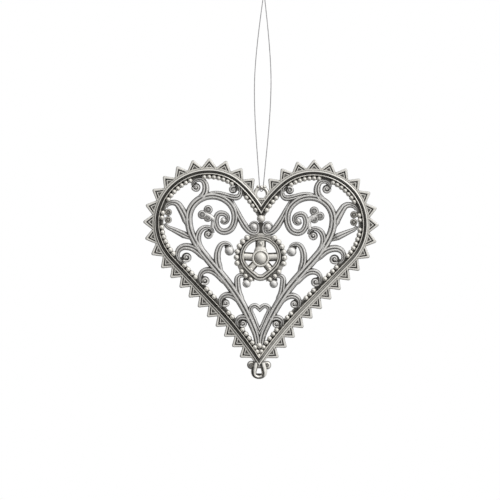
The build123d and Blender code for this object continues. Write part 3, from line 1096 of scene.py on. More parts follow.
@dataclass
class Border(Assembly):
    """The toothed border with its ledge, the rim soldered on it and the row of granules."""

    stations: tuple[Station, ...] = (
        (0, -15.5, 59), (52.2, 21.6, 0), (104.2, -29.7, -90), (89.6, -65.3, -134), (0, -167, -124),
    )
    lead: float = 24.0
    teeth_per_side: int = 22
    first_tooth: float = 27.0
    tooth_pitch: float = 13.43
    tooth_middle: float = 4.63
    tooth_radius: float = 10.07
    tooth_draft: float = 0.5
    tooth_base: float = 22.4
    tooth_half: float = 7.3
    tooth_height: float = 1.5
    tooth_slope: float = 0.4
    tooth_edge: tuple[Corner, ...] = ((0.6, 0.4), (0.1, 0.0))
    tooth_field: float = 40.0
    tooth_steps: tuple[Corner, ...] = (
        (0.8, 0.0), (0.5, -0.65), (0.5, 0.0), (0.4, 0.45), (0.75, 0.0), (0.45, -0.35),
    )
    tooth_dark: float = 0.9
    tooth_bright: float = 1.4
    tip_zone: float = 0.9
    tip_round: float = 2.4
    tip_segments: int = 3
    last_lump: Disc = (7.8, -171.0, 4.3)
    lump_dimple: float = 0.5
    plate_height: float = 1.4
    plate_round: float = 0.2
    valley: float = 4.7
    ledge_edge: float = 6.6
    ledge_height: float = 0.9
    foot_edge: float = -173.6
    rim_width: float = 5.5
    rim_height: float = 2.7
    rim_section: tuple[Edge, ...] = (
        (-1.0, 0.0, 0.0), (-1.0, 0.35, 0.3), (-0.93, 0.84, 1.0), (-0.74, 0.92, 1.0),
        (-0.5, 0.9, 1.0), (-0.4, 0.6, 0.05), (-0.28, 0.48, 0.0), (0.2, 0.48, 0.0),
        (0.34, 0.62, 0.05), (0.48, 0.95, 0.85), (0.62, 1.0, 1.0), (0.8, 0.86, 0.9),
        (0.95, 0.35, 0.4), (1.0, 0.0, 0.1),
    )
    # Painted highlight on the rim's lower right side, where the light falls: the grid heights over
    # which it rises, and its most
    sheen_run: Corner = (-45.0, -85.0)
    sheen_most: float = 0.5
    bead_line: float = 4.9
    bead_pitch: float = 5.4
    bead_radius: float = 2.65
    bead_room: float = 0.4
    foot_beads: tuple[Corner, ...] = ((4.4, -153.2), (2.3, -157.5), (0.0, -161.8))

    def build(self, keep_clear: Clearance) -> None:
        """Builds the border's three pieces.

        Args:
            keep_clear: Tells whether a granule's place touches no wire.
        """
        u, v, radius = self.last_lump
        plate = [self._strip(), *self._teeth()]
        for side in (1, -1):
            plate.append(
                WireBender.dished(side * u, v, radius, self.tooth_height, self.lump_dimple)
            )
        self.fit(Bench.join(plate), "toothed_border", "border_tin")
        self.fit(self._rim(), "rim_ridge", "rim_tin")
        grains = Granule(self.bead_radius, self.ledge_height).row(self._bead_places(keep_clear))
        self.fit(Bench.join(grains), "bead_border", "granule_tin")

    def _swept(self, edges: list[Edge]) -> bpy.types.Object:
        """Sweeps a section round the whole heart, with mitres at cleft and foot."""
        return Bench.both_sides(WireBender.sweep(Track(self.stations, self.lead), edges))

    def _strip(self) -> bpy.types.Object:
        """Makes the plate under the rim, stepped down to the inner ledge.

        Returns:
            The closed mesh, cut off straight at the foot.
        """
        plate, ledge = self.plate_height * MM, self.ledge_height * MM
        soft = self.plate_round * MM
        outer, inner = -self.valley * GRID, self.ledge_edge * GRID
        foot = self.rim_width / 2 * GRID
        strip = self._swept([
            (outer, 0.0, 0.0), (outer, plate - soft, 0.3), (outer + soft, plate, 0.9),
            (-foot - soft, plate, 0.8), (-foot, plate, 0.2), (foot, plate, 0.0),
            (foot + soft, ledge, 0.0), ((inner + foot) / 2, ledge, 0.05),
            (inner - soft, ledge, 0.4), (inner, ledge - soft, 0.2), (inner, 0.0, 0.0),
        ])
        Bench.cut(strip, spot(0, self.foot_edge), Vector((0, 0, -1)), True)
        return strip

    def _rim(self) -> bpy.types.Object:
        """Makes the rim: two bright ridges with a dark channel between them, and a painted highlight
        along its lower right side.

        Returns:
            The closed mesh.
        """
        base, crest = self.plate_height * MM, self.rim_height * MM
        half = self.rim_width / 2 * GRID
        rim = self._swept(
            [(x * half, base + y * (crest - base), wear) for x, y, wear in self.rim_section]
        )
        # Painted highlight: the rim's lower right side is lifted towards bare tin, where the light
        # falls on it
        Bench.paint_sheen(rim, self._painted_sheen)
        return rim

    def _painted_sheen(self, place: Vector) -> float:
        """Gives the painted highlight on the rim: brighter along its lower right side, where the light
        falls.

        Args:
            place: A point of the rim in metres.

        Returns:
            The share.
        """
        if place.x <= 0:
            return 0.0
        return self.sheen_most * risen((place.z - EYE_Z) / GRID, *self.sheen_run)

    def _tooth(self) -> bpy.types.Object:
        """Models one tooth: a blunt gable with a raised edge, a groove and a dished field.

        Returns:
            The closed mesh, lying flat with its point along Y.
        """
        shoulder = (self.tooth_height - self.tooth_slope) * MM
        Bench.clear()
        bpy.ops.mesh.primitive_cone_add(
            vertices=3,
            radius1=self.tooth_radius * GRID,
            radius2=(self.tooth_radius - self.tooth_draft) * GRID,
            depth=shoulder,
            location=(0, 0, shoulder / 2),
            scale=(self.tooth_base / (math.sqrt(3) * self.tooth_radius), 1, 1),
        )
        tooth = Bench.settle(Bench.active())
        for side in (1, -1):
            Bench.cut(tooth, Vector((side * self.tooth_half * GRID, 0, 0)), Vector((side, 0, 0)), True)
        tip = self.tip_zone * self.tooth_radius * GRID
        with Bench.editing(tooth) as mesh:
            Bench.choose_edges(mesh.edges, lambda edge: min(end.co.y for end in edge.verts) > tip)
            bpy.ops.mesh.bevel(
                offset=self.tip_round * GRID, segments=self.tip_segments, affect="EDGES"
            )
            bpy.ops.mesh.select_mode(type="FACE")
            Bench.choose(mesh, lambda face: face.normal.z > Bench.FACING)
            Bench.carve(self.tooth_edge)
            top = max(mesh.faces, key=lambda face: face.normal.z * face.calc_area())
            Bench.choose_edges(top.edges, lambda edge: edge.calc_length() < GRID)
            bpy.ops.mesh.merge(type="COLLAPSE")
            bpy.ops.mesh.select_mode(type="FACE")
            least = self.tooth_field * GRID**2
            Bench.choose(mesh, lambda face: face.normal.z * face.calc_area() > least)
            Bench.carve(self.tooth_steps)
        return tooth

    def _teeth(self) -> list[bpy.types.Object]:
        """Sets the teeth round both sides of the rim.

        Returns:
            The teeth, bright on their raised edges and dark in their grooves.
        """
        track = Track(self.stations)
        pattern = self._tooth()
        teeth = []
        for number in range(self.teeth_per_side):
            along = self.first_tooth + self.tooth_pitch * number
            u, v, heading = track.at(along, self.tooth_middle)
            for side in (1, -1):
                tooth = Bench.copy(pattern)
                tooth.rotation_euler = (math.pi / 2, -side * heading, 0)
                tooth.location = spot(side * u, v, BACK_STEP * (2 + number % 2))
                Bench.settle(tooth)
                Bench.paint(
                    tooth, lambda i, height: risen(height, self.tooth_dark, self.tooth_bright)
                )
                teeth.append(tooth)
        bpy.data.objects.remove(pattern)
        return teeth

    def _bead_places(self, keep_clear: Clearance) -> list[Corner]:
        """Spaces the granules along the ledge, left out where a wire lies on it.

        Args:
            keep_clear: Tells whether a granule's place touches no wire.

        Returns:
            Their places in the grid, on both sides.
        """
        track = Track(self.stations)
        count = round(track.length / self.bead_pitch)
        row = [track.at((i + 0.5) * track.length / count, -self.bead_line) for i in range(count)]
        right = [
            (u, v) for u, v, _ in row
            if u > self.foot_beads[0][0] and keep_clear(u, v, self.bead_room)
        ]
        right += self.foot_beads
        return right + [(-u, v) for u, v in right if u > 0]


@dataclass
class Scrollwork(Assembly):
    """The scrolled wires of both halves, with their melted ends."""

    strands: tuple[Strand, ...] = (
        Strand(
            "trunk", 7.1, 2.3,
            (
                (1.9, -150, 88), (11, -123, 64), (35, -86, 50), (58.5, -58.5, 51),
                (72.4, -25, 90), (49, -2.3, 180), (26, -23.5, 270), (36.8, -38.2, 0),
                (45.2, -27.5, 90), (39.8, -19.6, 180), (33.2, -24.8, 270), (37, -29.4, 0),
                (39.9, -27.4, 70),
            ),
            (
                (0.0, 0.85), (0.06, 1.0), (0.2, 1.2), (0.45, 1.05), (0.75, 0.95), (0.94, 0.75),
                (1.0, 0.35),
            ),
            ball=(37.6, -26.6, 2.9),
        ),
        Strand(
            "inner_curl", 6.1, 2.1,
            ((52, -65.5, 50), (63, -45, 90), (53.5, -33.8, 180), (47.8, -39.5, 270)),
            tapered((0.16, 1.1), (0.6, 1.0)),
            ball=(52.4, -41, 5.0), nook=(51.2, -37.2, 2.2), coil=(160, 400),
        ),
        Strand(
            "rosette_arm_upper", 6.2, 2.1,
            ((37, -83, 62), (43.2, -61, 95), (35, -49.6, 180), (29.2, -54.5, 262)),
            tapered((0.16, 1.15), (0.6, 1.0)),
            ball=(31.1, -57.2, 4.8), nook=(33.4, -53.0, 2.8),
        ),
        Strand(
            "rosette_arm_lower", 6.1, 2.1,
            ((15.5, -112, 64), (22.3, -95, 82), (18.6, -81.4, 180), (13.2, -86, 268)),
            tapered((0.16, 1.1), (0.6, 1.0)),
            ball=(13.5, -89.6, 4.2), nook=(14.8, -85.8, 2.4),
        ),
        Strand(
            "edge_curl_1", 6.3, 1.9,
            ((53, -68, 50), (66.2, -55.6, 30), (74.8, -53.4, 0), (83.2, -61, 270), (78, -68.2, 190)),
            tapered((0.16, 1.15), (0.6, 1.05)),
            ball=(74, -64.4, 5.4), nook=(78.8, -66.2, 2.4), coil=(-40, -400),
        ),
        Strand(
            "edge_curl_2", 6.0, 1.9,
            (
                (31.5, -93, 54), (43.5, -80.2, 38), (52.3, -76.7, 0), (60.3, -84, 270),
                (57, -90.5, 200),
            ),
            tapered((0.16, 1.2), (0.6, 1.0)),
            ball=(55.4, -87.4, 5.1), nook=(57.8, -84.2, 2.4), coil=(-40, -400),
        ),
        Strand(
            "edge_curl_3", 5.8, 1.9,
            ((17, -112, 60), (24, -104, 36), (32, -101.2, 0), (39.8, -108.5, 270), (37, -113.8, 200)),
            tapered((0.16, 1.2), (0.6, 1.0)),
            ball=(34.4, -109.6, 4.5), nook=(36.0, -106.4, 2.4), coil=(-40, -400),
        ),
        Strand(
            "edge_curl_4", 5.6, 1.9,
            ((7, -131, 66), (12, -124.6, 30), (16.6, -123.3, 0), (23, -129, 270), (20.5, -133.5, 200)),
            tapered((0.16, 1.1), (0.6, 1.0)),
            ball=(16.8, -129.8, 4.5), nook=(19.4, -127.4, 2.0), coil=(-40, -400),
        ),
        Strand(
            "lobe_curl", 6.1, 2.1,
            ((66.5, -11.5, 128), (55.6, 5.2, 90), (61.8, 13.8, 0), (69, 7.6, 270)),
            tapered((0.16, 1.2), (0.5, 1.05)),
            ball=(65.4, 5.8, 4.9), nook=(66.6, 9.6, 2.2), coil=(0, -400),
        ),
        Strand(
            "cleft_curl", 5.2, 1.9,
            (
                (60, -4.5, 150), (46, 0.2, 180), (31, -3, 195), (24.6, -3.6, 170),
                (20.6, 2.5, 90), (25.5, 8.6, 0),
            ),
            tapered((0.16, 0.8), (0.3, 0.9), (0.7, 1.1)),
            ball=(28.3, 4.4, 4.6), nook=(24.4, 5.2, 2.0), coil=(120, -400),
        ),
        Strand(
            "crown_stem", 6.3, 1.9,
            (
                (30, -5.5, 243), (16.5, -31.5, 236), (6, -39.0, 180), (3.0, -34, 90),
                (6.8, -28.7, 0), (10.6, -32.4, -85),
            ),
            tapered((0.16, 0.8), (0.5, 1.1), (0.68, 0.85), (0.8, 0.66)),
            ball=(6.9, -32.9, 3.9),
        ),
        Strand(
            "leaf_upper", 7.2, 1.9,
            ((72.6, -35, 84), (78, -19.5, 60), (88, -9.6, 0), (95.5, -15, 280)),
            tapered((0.16, 1.15), (0.5, 1.05)),
        ),
        Strand(
            "leaf_lower", 6.8, 1.9,
            ((68.5, -45.5, 25), (85.2, -37.8, 25), (96, -30.5, 70)),
            tapered((0.16, 1.1)),
        ),
    )
    ball_top: float = 2.4
    ball_belly: float = 0.9
    coil_width: float = 2.7
    coil_bends: int = 5
    coil_shrink: float = 0.45
    coil_thinning: float = 0.3
    coil_seat: float = 1.2
    coil_lap: float = 0.4
    coil_pip: float = 0.34
    nook_height: float = 0.9
    nook_belly: float = 0.5
    lobe_top: float = 2.1
    dimple: float = 0.6
    trefoil_lobes: tuple[Disc, ...] = (
        (53.0, -16.3, 4.6), (58.9, -21.3, 4.5), (53.4, -24.4, 4.2),
    )
    trefoil_stalk: tuple[Station, ...] = ((56.0, -20.0, 210), (46.4, -27.0, 222))
    stalk_size: Corner = (5.6, 1.7)
    trefoil_foot: tuple[Station, ...] = ((47.8, -23.5, 268), (48.4, -34.6, 272))
    trefoil_foot_size: Corner = (4.4, 1.5)
    leaf_granules: tuple[Disc, ...] = ((92.8, -19.4, 3.7), (92.8, -26.9, 3.7))
    small_heart: Strand = Strand(
        "small_heart", 4.6, 1.9,
        ((0, -137.6, 62), (6.3, -123.5, 68), (9.3, -115.6, 90), (5.1, -111.6, 180), (0, -115, 222)),
    )
    heart_lead: float = 9.0
    cleft_bead: Disc = (0, -24.5, 4.2)
    web_size: Corner = (4.4, 0.8)
    web_foot: float = -42.0
    root_collar: Disc = (0, -151.5, 3.4)

    def build(self) -> None:
        """Builds every wire and the small pieces between them."""
        for strand in self.strands:
            self.fit_pair(self._wire(strand), strand.name, "scroll_tin")
        self.fit_pair(self._trefoil(), "trefoil", "scroll_tin")
        grains = [
            WireBender.dished(*place, self.ball_top, self.dimple) for place in self.leaf_granules
        ]
        self.fit_pair(Bench.join(grains), "leaf_granules", "granule_tin")
        self.fit(self._heart(), "small_heart", "scroll_tin")
        self.fit(self._crown(), "cleft_bead", "granule_tin")
        self.fit(self._ball(*self.root_collar), "root_collar", "granule_tin")

    def keep_clear(self, u: float, v: float, room: float) -> bool:
        """Tells whether a granule touches none of the wires and melted ends.

        Args:
            u: Place across on the right side, in grid squares.
            v: Place up, in grid squares.
            room: How far from the wires' edges its middle must lie, in grid squares.

        Returns:
            True where the granule has room.
        """
        for strand in self.strands:
            if strand.track().distance(u, v) < strand.width / 2 + room:
                return False
        discs = [strand.ball for strand in self.strands if strand.ball]
        discs += [self.cleft_bead, self.root_collar, *self.leaf_granules]
        return all(math.hypot(u - x, v - y) >= size + room for x, y, size in discs)

    def _ball(self, u: float, v: float, radius: float) -> bpy.types.Object:
        """Melts a ball at a place of the grid."""
        return WireBender.dome(u, v, radius, self.ball_top, self.ball_belly)

    def _wire(self, strand: Strand) -> bpy.types.Object:
        """Bends one wire and melts or winds up its end.

        Args:
            strand: The wire's sizes.

        Returns:
            The closed meshes as one piece.
        """
        edges = Section.WIRE.edges(strand.width, strand.height)
        pieces = [WireBender.sweep(strand.track(), edges, strand.thickness)]
        if strand.coil:
            pieces += self._coil(strand.ball, *strand.coil)
        elif strand.ball:
            pieces.append(self._ball(*strand.ball))
        if strand.nook:
            pieces.append(self._dark_seat(strand.nook, self.nook_height))
        return Bench.join(pieces)

    def _dark_seat(self, disc: Disc, top: float) -> bpy.types.Object:
        """Melts a low seat painted fully dark.

        Args:
            disc: Its place and radius in grid squares.
            top: Its height in millimetres.

        Returns:
            The closed mesh.
        """
        seat = WireBender.dome(*disc, top, self.nook_belly * top)
        # The whole seat is painted fully dark
        Bench.paint(seat, lambda i, height: 0.0)
        return seat

    def _coil(self, ball: Disc, start: float, turn: float) -> list[bpy.types.Object]:
        """Winds a wire's end into a snail on a dark seat.

        Args:
            ball: Place and radius of the snail, in grid squares.
            start: Where round its middle the wire arrives, in degrees.
            turn: How far it winds, in degrees, clockwise if below zero.

        Returns:
            The snail, its seat and the ball in its middle.
        """
        u, v, radius = ball
        quarter = math.copysign(90, turn)
        stations = []
        for i in range(self.coil_bends + 1):
            share = i / self.coil_bends
            angle = start + turn * share
            reach = radius * (1 - self.coil_shrink * share) - self.coil_width / 2
            across, up = way(angle)
            stations.append((u + reach * across, v + reach * up, angle + quarter))
        edges = Section.ROUND.edges(self.coil_width, self.ball_top)
        snail = WireBender.sweep(
            Track(stations), edges, lambda share: 1.0 - self.coil_thinning * share
        )
        seat = self._dark_seat((u, v, radius - self.coil_lap), self.coil_seat)
        return [snail, seat, self._ball(u, v, self.coil_pip * radius)]

    def _trefoil(self) -> bpy.types.Object:
        """Makes the clover: three dished lobes on a stalk that is soldered to the spiral.

        Returns:
            The closed meshes as one piece.
        """
        pieces = []
        for stations, size in (
            (self.trefoil_stalk, self.stalk_size),
            (self.trefoil_foot, self.trefoil_foot_size),
        ):
            pieces.append(WireBender.sweep(Track(stations), Section.ROUND.edges(*size)))
        for lobe in self.trefoil_lobes:
            pieces.append(WireBender.dished(*lobe, self.lobe_top, self.dimple))
        return Bench.join(pieces)

    def _crown(self) -> bpy.types.Object:
        """Melts the bead over the rosette, with the dark web that ties the two stems.

        Returns:
            The closed meshes as one piece.
        """
        u, v, radius = self.cleft_bead
        line = Track(((u, v, 270), (u, self.web_foot, 270)))
        web = WireBender.sweep(line, Section.WEB.edges(*self.web_size))
        return Bench.join([self._ball(u, v, radius), web])

    def _heart(self) -> bpy.types.Object:
        """Bends the small heart above the root, with mitres on the middle line.

        Returns:
            The closed mesh.
        """
        edges = Section.WIRE.edges(self.small_heart.width, self.small_heart.height)
        line = Track(self.small_heart.stations, self.heart_lead)
        return Bench.both_sides(WireBender.sweep(line, edges))


@dataclass
class Rosette(Assembly):
    """The middle rosette: pointed ring on its flange, domed boss with spokes, and granules."""

    centre: float = -63.5
    ring: tuple[Station, ...] = (
        (0, -43.9, 0), (18.8, -62.3, -90), (14, -73.6, -132), (4.0, -82.5, -141), (0, -83.6, 180),
    )
    ring_lead: float = 4.0
    ring_width: float = 4.9
    ring_height: float = 2.1
    ring_swell: float = 0.3
    flange_inner: float = 18.4
    flange_outer: float = 24.6
    flange_height: float = 0.9
    flange_gap: float = 19.0
    flange_bends: int = 4
    flange_lead: float = 2.0
    bead_line: float = 24.0
    bead_count: int = 26
    bead_radius: float = 2.95
    bead_room: float = 0.3
    bead_stop: float = -74.0
    low_beads: tuple[Corner, ...] = ((18.6, -77.4), (14.6, -81.9), (9.6, -85.2))
    low_bead_radius: float = 2.6
    boss_centre: float = -64.1
    boss_radius: float = 9.2
    boss_foot: Corner = (1.9, 1.0)
    boss_shoulder: Disc = (0, -57.8, 6.6)
    boss_shoulder_size: Corner = (2.0, 1.0)
    dome_radius: float = 6.6
    dome_size: Corner = (3.0, 1.4)
    bezel_radius: float = 7.5
    bezel_wire: float = 1.25
    bezel_seat: float = 1.7
    bezel_facets: tuple[int, int] = (56, 14)
    bezel_wear: Corner = (1.5, 2.1)
    spokes: tuple[Corner, ...] = ((90, 8.6), (176, 6.6), (4, 6.6), (229, 5.8), (311, 5.8))
    spoke_start: float = 7.2
    spoke_end: float = 17.0
    spoke_height: float = 1.5
    # Dark strip under each spoke, wider than it: painted shade along the spoke's edges; its extra
    # width and its height
    spoke_shade_margin: float = 2.0
    spoke_shade_height: float = 0.8
    spoke_beads: tuple[Corner, ...] = ((0, -49.6), (-9.3, -75.2), (9.3, -75.2))
    spoke_bead_size: Disc = (2.3, 2.3, 1.2)

    def build(self, keep_clear: Clearance) -> None:
        """Builds the rosette's three pieces.

        Args:
            keep_clear: Tells whether a granule's place touches no wire.
        """
        self.fit(Bench.join([self._ring(), self._flange()]), "rosette_ring", "rosette_tin")
        self.fit(self._flower(), "rosette_flower", "rosette_tin")
        places = self._bead_places(keep_clear)
        grains = Granule(self.bead_radius, self.flange_height).row(places)
        low = [(side * u, v) for u, v in self.low_beads for side in (1, -1)]
        grains += Granule(self.low_bead_radius, self.flange_height).row(low)
        self.fit(Bench.join(grains), "rosette_beads", "granule_tin")

    def _ring(self) -> bpy.types.Object:
        """Bends the grooved ring, fuller towards its point.

        Returns:
            The closed mesh.
        """
        edges = Section.WIRE.edges(self.ring_width, self.ring_height)
        ring = WireBender.sweep(
            Track(self.ring, self.ring_lead),
            edges,
            lambda share: 1.0 + self.ring_swell * max(0.0, 2.0 * share - 1.0),
        )
        return Bench.both_sides(ring)

    def _flange(self) -> bpy.types.Object:
        """Bends the flat flange round the ring, open at the point.

        Returns:
            The closed mesh.
        """
        middle = (self.flange_inner + self.flange_outer) / 2
        stations = []
        for i in range(self.flange_bends + 1):
            turn = 270 + self.flange_gap + i * (180 - self.flange_gap) / self.flange_bends
            across, up = way(turn)
            stations.append((middle * across, self.centre + middle * up, turn + 90))
        edges = Section.FLAT.edges(self.flange_outer - self.flange_inner, self.flange_height)
        return Bench.both_sides(WireBender.sweep(Track(stations, self.flange_lead), edges))

    def _flower(self) -> bpy.types.Object:
        """Makes the plain domed boss in its bezel, with spokes to the ring.

        Returns:
            The closed meshes as one piece.
        """
        pieces = [
            WireBender.dome(0, self.boss_centre, self.boss_radius, *self.boss_foot),
            WireBender.dome(0, self.boss_centre, self.dome_radius, *self.dome_size),
            WireBender.dome(*self.boss_shoulder, *self.boss_shoulder_size),
            self._bezel(),
        ]
        for angle, width in self.spokes:
            across, up = way(angle)
            ends = (self.spoke_start, self.spoke_end)
            line = Track([(far * across, self.centre + far * up, angle) for far in ends])
            # A strip painted fully dark under the spoke: painted shade along its edges
            spoke_shade = Section.WEB.edges(width + self.spoke_shade_margin, self.spoke_shade_height)
            pieces.append(WireBender.sweep(line, Section.ROUND.edges(width, self.spoke_height)))
            pieces.append(WireBender.sweep(line, spoke_shade))
        for u, v in self.spoke_beads:
            pieces.append(WireBender.dome(u, v, *self.spoke_bead_size))
        return Bench.join(pieces)

    def _bezel(self) -> bpy.types.Object:
        """Rolls the collar round the boss.

        Returns:
            The closed mesh, bright on its crest.
        """
        rounds, sides = self.bezel_facets
        Bench.clear()
        bpy.ops.mesh.primitive_torus_add(
            major_segments=rounds,
            minor_segments=sides,
            major_radius=self.bezel_radius * GRID,
            minor_radius=self.bezel_wire * GRID,
            location=spot(0, self.boss_centre, self.bezel_seat),
            rotation=(math.pi / 2, 0, 0),
        )
        bezel = Bench.settle(Bench.active())
        Bench.paint(bezel, lambda i, height: risen(height, *self.bezel_wear))
        return bezel

    def _bead_places(self, keep_clear: Clearance) -> list[Corner]:
        """Spaces the granules round the ring, left out where a wire lies on the flange.

        Args:
            keep_clear: Tells whether a granule's place touches no wire.

        Returns:
            Their places in the grid.
        """
        ring = Track(self.ring)
        places = []
        for i in range(self.bead_count):
            across, up = way(90 + (i + 0.5) * 360 / self.bead_count)
            u, v = self.bead_line * across, self.centre + self.bead_line * up
            off_ring = ring.distance(abs(u), v) >= self.ring_width / 2 + self.bead_room
            if off_ring and v > self.bead_stop and keep_clear(abs(u), v, self.bead_room):
                places.append((u, v))
        return places


@dataclass
class Fittings(Assembly):
    """The hanging eye in the cleft and the loop at the foot."""

    eye_arch: tuple[Station, ...] = (
        (-6.2, -5.0, 90), (-6.2, 0, 90), (0, 6.35, 0), (6.2, 0, -90), (6.2, -5.0, -90),
    )
    eye_size: Corner = (4.0, 1.45)
    eye_beads: tuple[Corner, ...] = ((-3.1, 7.2), (0.1, 6.8), (3.1, 7.1))
    eye_bead_size: Disc = (2.0, 1.74, 0.8)
    eye_bar: tuple[Station, ...] = ((-5.2, -5.3, 0), (5.2, -5.3, 0))
    eye_bar_size: Corner = (1.9, 1.9)
    # Dark strip under the eye's bar, showing above it: painted shadow at the bottom of the eye's hole
    eye_shadow_size: Corner = (3.2, 0.9)
    neck_centre: float = -8.2
    neck_radius: float = 7.2
    neck_draft: float = 0.2
    neck_height: float = 1.5
    neck_seat: float = 0.8
    neck_steps: tuple[Corner, ...] = ((1.5, 0.0), (0.4, -0.5))
    neck_wear: Corner = (0.8, 1.4)
    foot: Strand = Strand(
        "foot_loop", 4.0, 1.6,
        (
            (-3.4, -168.5, 262), (-5.2, -177.4, 264), (-3.2, -182.2, 330), (3.2, -182.2, 30),
            (5.2, -177.4, 96), (3.4, -168.5, 98),
        ),
        ((0.0, 1.6), (0.19, 1.6), (0.32, 1.3), (0.44, 1.0), (0.56, 1.0), (0.68, 1.3), (0.81, 1.6)),
    )
    foot_bar: tuple[Station, ...] = ((-5, -171.9, 0), (5, -171.9, 0))
    foot_bar_size: Corner = (5.0, 1.6)
    foot_lip: tuple[Station, ...] = ((-3.4, -180.6, 0), (3.4, -180.6, 0))
    foot_lip_size: Corner = (2.6, 0.8)

    def build(self) -> None:
        """Builds both fittings."""
        self.fit(self._eye(), "hang_eye", "rim_tin")
        self.fit(self._foot(), "foot_loop", "rim_tin")

    def _eye(self) -> bpy.types.Object:
        """Makes the eye: an arch with granules on it, a bar under it with a dark strip of painted
        shadow along its top edge, and a sunk triangle.

        Returns:
            The closed meshes as one piece.
        """
        pieces = [WireBender.sweep(Track(self.eye_arch), Section.ROUND.edges(*self.eye_size))]
        for u, v in self.eye_beads:
            pieces.append(WireBender.dome(u, v, *self.eye_bead_size))
        pieces.append(self._neck())
        bar = Track(self.eye_bar)
        pieces.append(WireBender.sweep(bar, Section.ROUND.edges(*self.eye_bar_size)))
        # Strip painted fully dark: painted shadow along the bar's top edge
        pieces.append(WireBender.sweep(bar, Section.WEB.edges(*self.eye_shadow_size)))
        return Bench.join(pieces)

    def _neck(self) -> bpy.types.Object:
        """Cuts the triangle that fills the cleft under the eye.

        Returns:
            The closed mesh, with a sunk middle.
        """
        Bench.clear()
        bpy.ops.mesh.primitive_cone_add(
            vertices=3,
            radius1=self.neck_radius * GRID,
            radius2=(self.neck_radius - self.neck_draft) * GRID,
            depth=self.neck_height * MM,
            location=spot(0, self.neck_centre, self.neck_seat),
            rotation=(math.pi / 2, math.pi, 0),
        )
        neck = Bench.settle(Bench.active())
        with Bench.editing(neck) as mesh:
            Bench.choose(mesh, lambda face: face.normal.y < -Bench.FACING)
            Bench.carve(self.neck_steps)
        Bench.paint(neck, lambda i, height: risen(height, *self.neck_wear))
        return neck

    def _foot(self) -> bpy.types.Object:
        """Bends the loop at the foot and closes it with a bar above and a dark lip below.

        Returns:
            The closed meshes as one piece.
        """
        edges = Section.ROUND.edges(self.foot.width, self.foot.height)
        loop = WireBender.sweep(self.foot.track(), edges, self.foot.thickness)
        bar = WireBender.sweep(Track(self.foot_bar), Section.ROUND.edges(*self.foot_bar_size))
        lip = WireBender.sweep(Track(self.foot_lip), Section.WEB.edges(*self.foot_lip_size))
        return Bench.join([loop, bar, lip])


@dataclass
class Thread:
    """The nylon loop that the heart hangs from, and its knot, with its route in millimetres."""

    finishes: Finishes
    diameter: float = 0.38 * MM
    length: float = 166.1 * MM
    route: tuple[Point, ...] = (
        (-0.4, -0.3, -1.35), (-3.1, -0.5, -22.5), (-3.8, -0.8, -45.0), (-0.82, -1.08, -80.4),
        (-0.62, -1.1, -82.8), (0.62, 1.7, -82.8), (0.82, 1.66, -80.4), (3.8, 1.0, -45.0),
        (3.1, 0.6, -22.5), (0.4, 0.3, -1.35),
    )
    line_steps: int = 8
    line_sides: int = 3
    knot_size: float = 0.26 * MM
    knot_depth: float = 1.2
    knot_points: int = 15

    def build(self) -> list[bpy.types.Object]:
        """Lays the thread and ties its knot.

        Returns:
            The thread and the knot.
        """
        knot = self._knot()
        thread = self._line([Vector(point) * MM for point in self.route], False)
        thread.name = "hanging_thread_nylon"
        thread.data.name = thread.name
        self.finishes.dress(thread, "thread")
        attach(thread, "thread")
        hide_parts("hanging_thread")
        return [thread, knot]

    def _line(self, points: list[Vector], closed: bool) -> bpy.types.Object:
        """Draws a smooth round line along control points.

        Args:
            points: The control points in metres.
            closed: Whether the line runs back to its start.

        Returns:
            The bevelled curve.
        """
        Bench.clear()
        bpy.ops.curve.primitive_nurbs_path_add()
        line = Bench.active()
        line.data.splines.clear()
        spline = line.data.splines.new("NURBS")
        spline.points.add(len(points) - 1)
        for control, point in zip(spline.points, points):
            control.co = (*point, 1.0)
        spline.use_cyclic_u = closed
        spline.order_u = 3
        spline.use_endpoint_u = not closed
        spline.resolution_u = self.line_steps
        line.data.bevel_depth = self.diameter / 2
        line.data.bevel_resolution = self.line_sides
        line.data.use_fill_caps = True
        return line

    def _knot(self) -> bpy.types.Object:
        """Ties the overhand knot at the top.

        Returns:
            The closed mesh.
        """
        points = []
        for i in range(self.knot_points):
            t = math.tau * i / self.knot_points
            across = math.sin(t) + 2 * math.sin(2 * t)
            up = math.cos(t) - 2 * math.cos(2 * t)
            forward = -self.knot_depth * math.sin(3 * t)
            points.append(Vector((across, forward, up)) * self.knot_size)
        Bench.pick(self._line(points, True))
        bpy.ops.object.convert(target="MESH")
        knot = Bench.active()
        knot.name = "thread_knot_nylon"
        knot.data.name = knot.name
        Bench.close(knot)
        Bench.shade(knot)
        self.finishes.dress(knot, "thread")
        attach(knot, "hang_knot")
        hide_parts("thread_knot")
        return knot


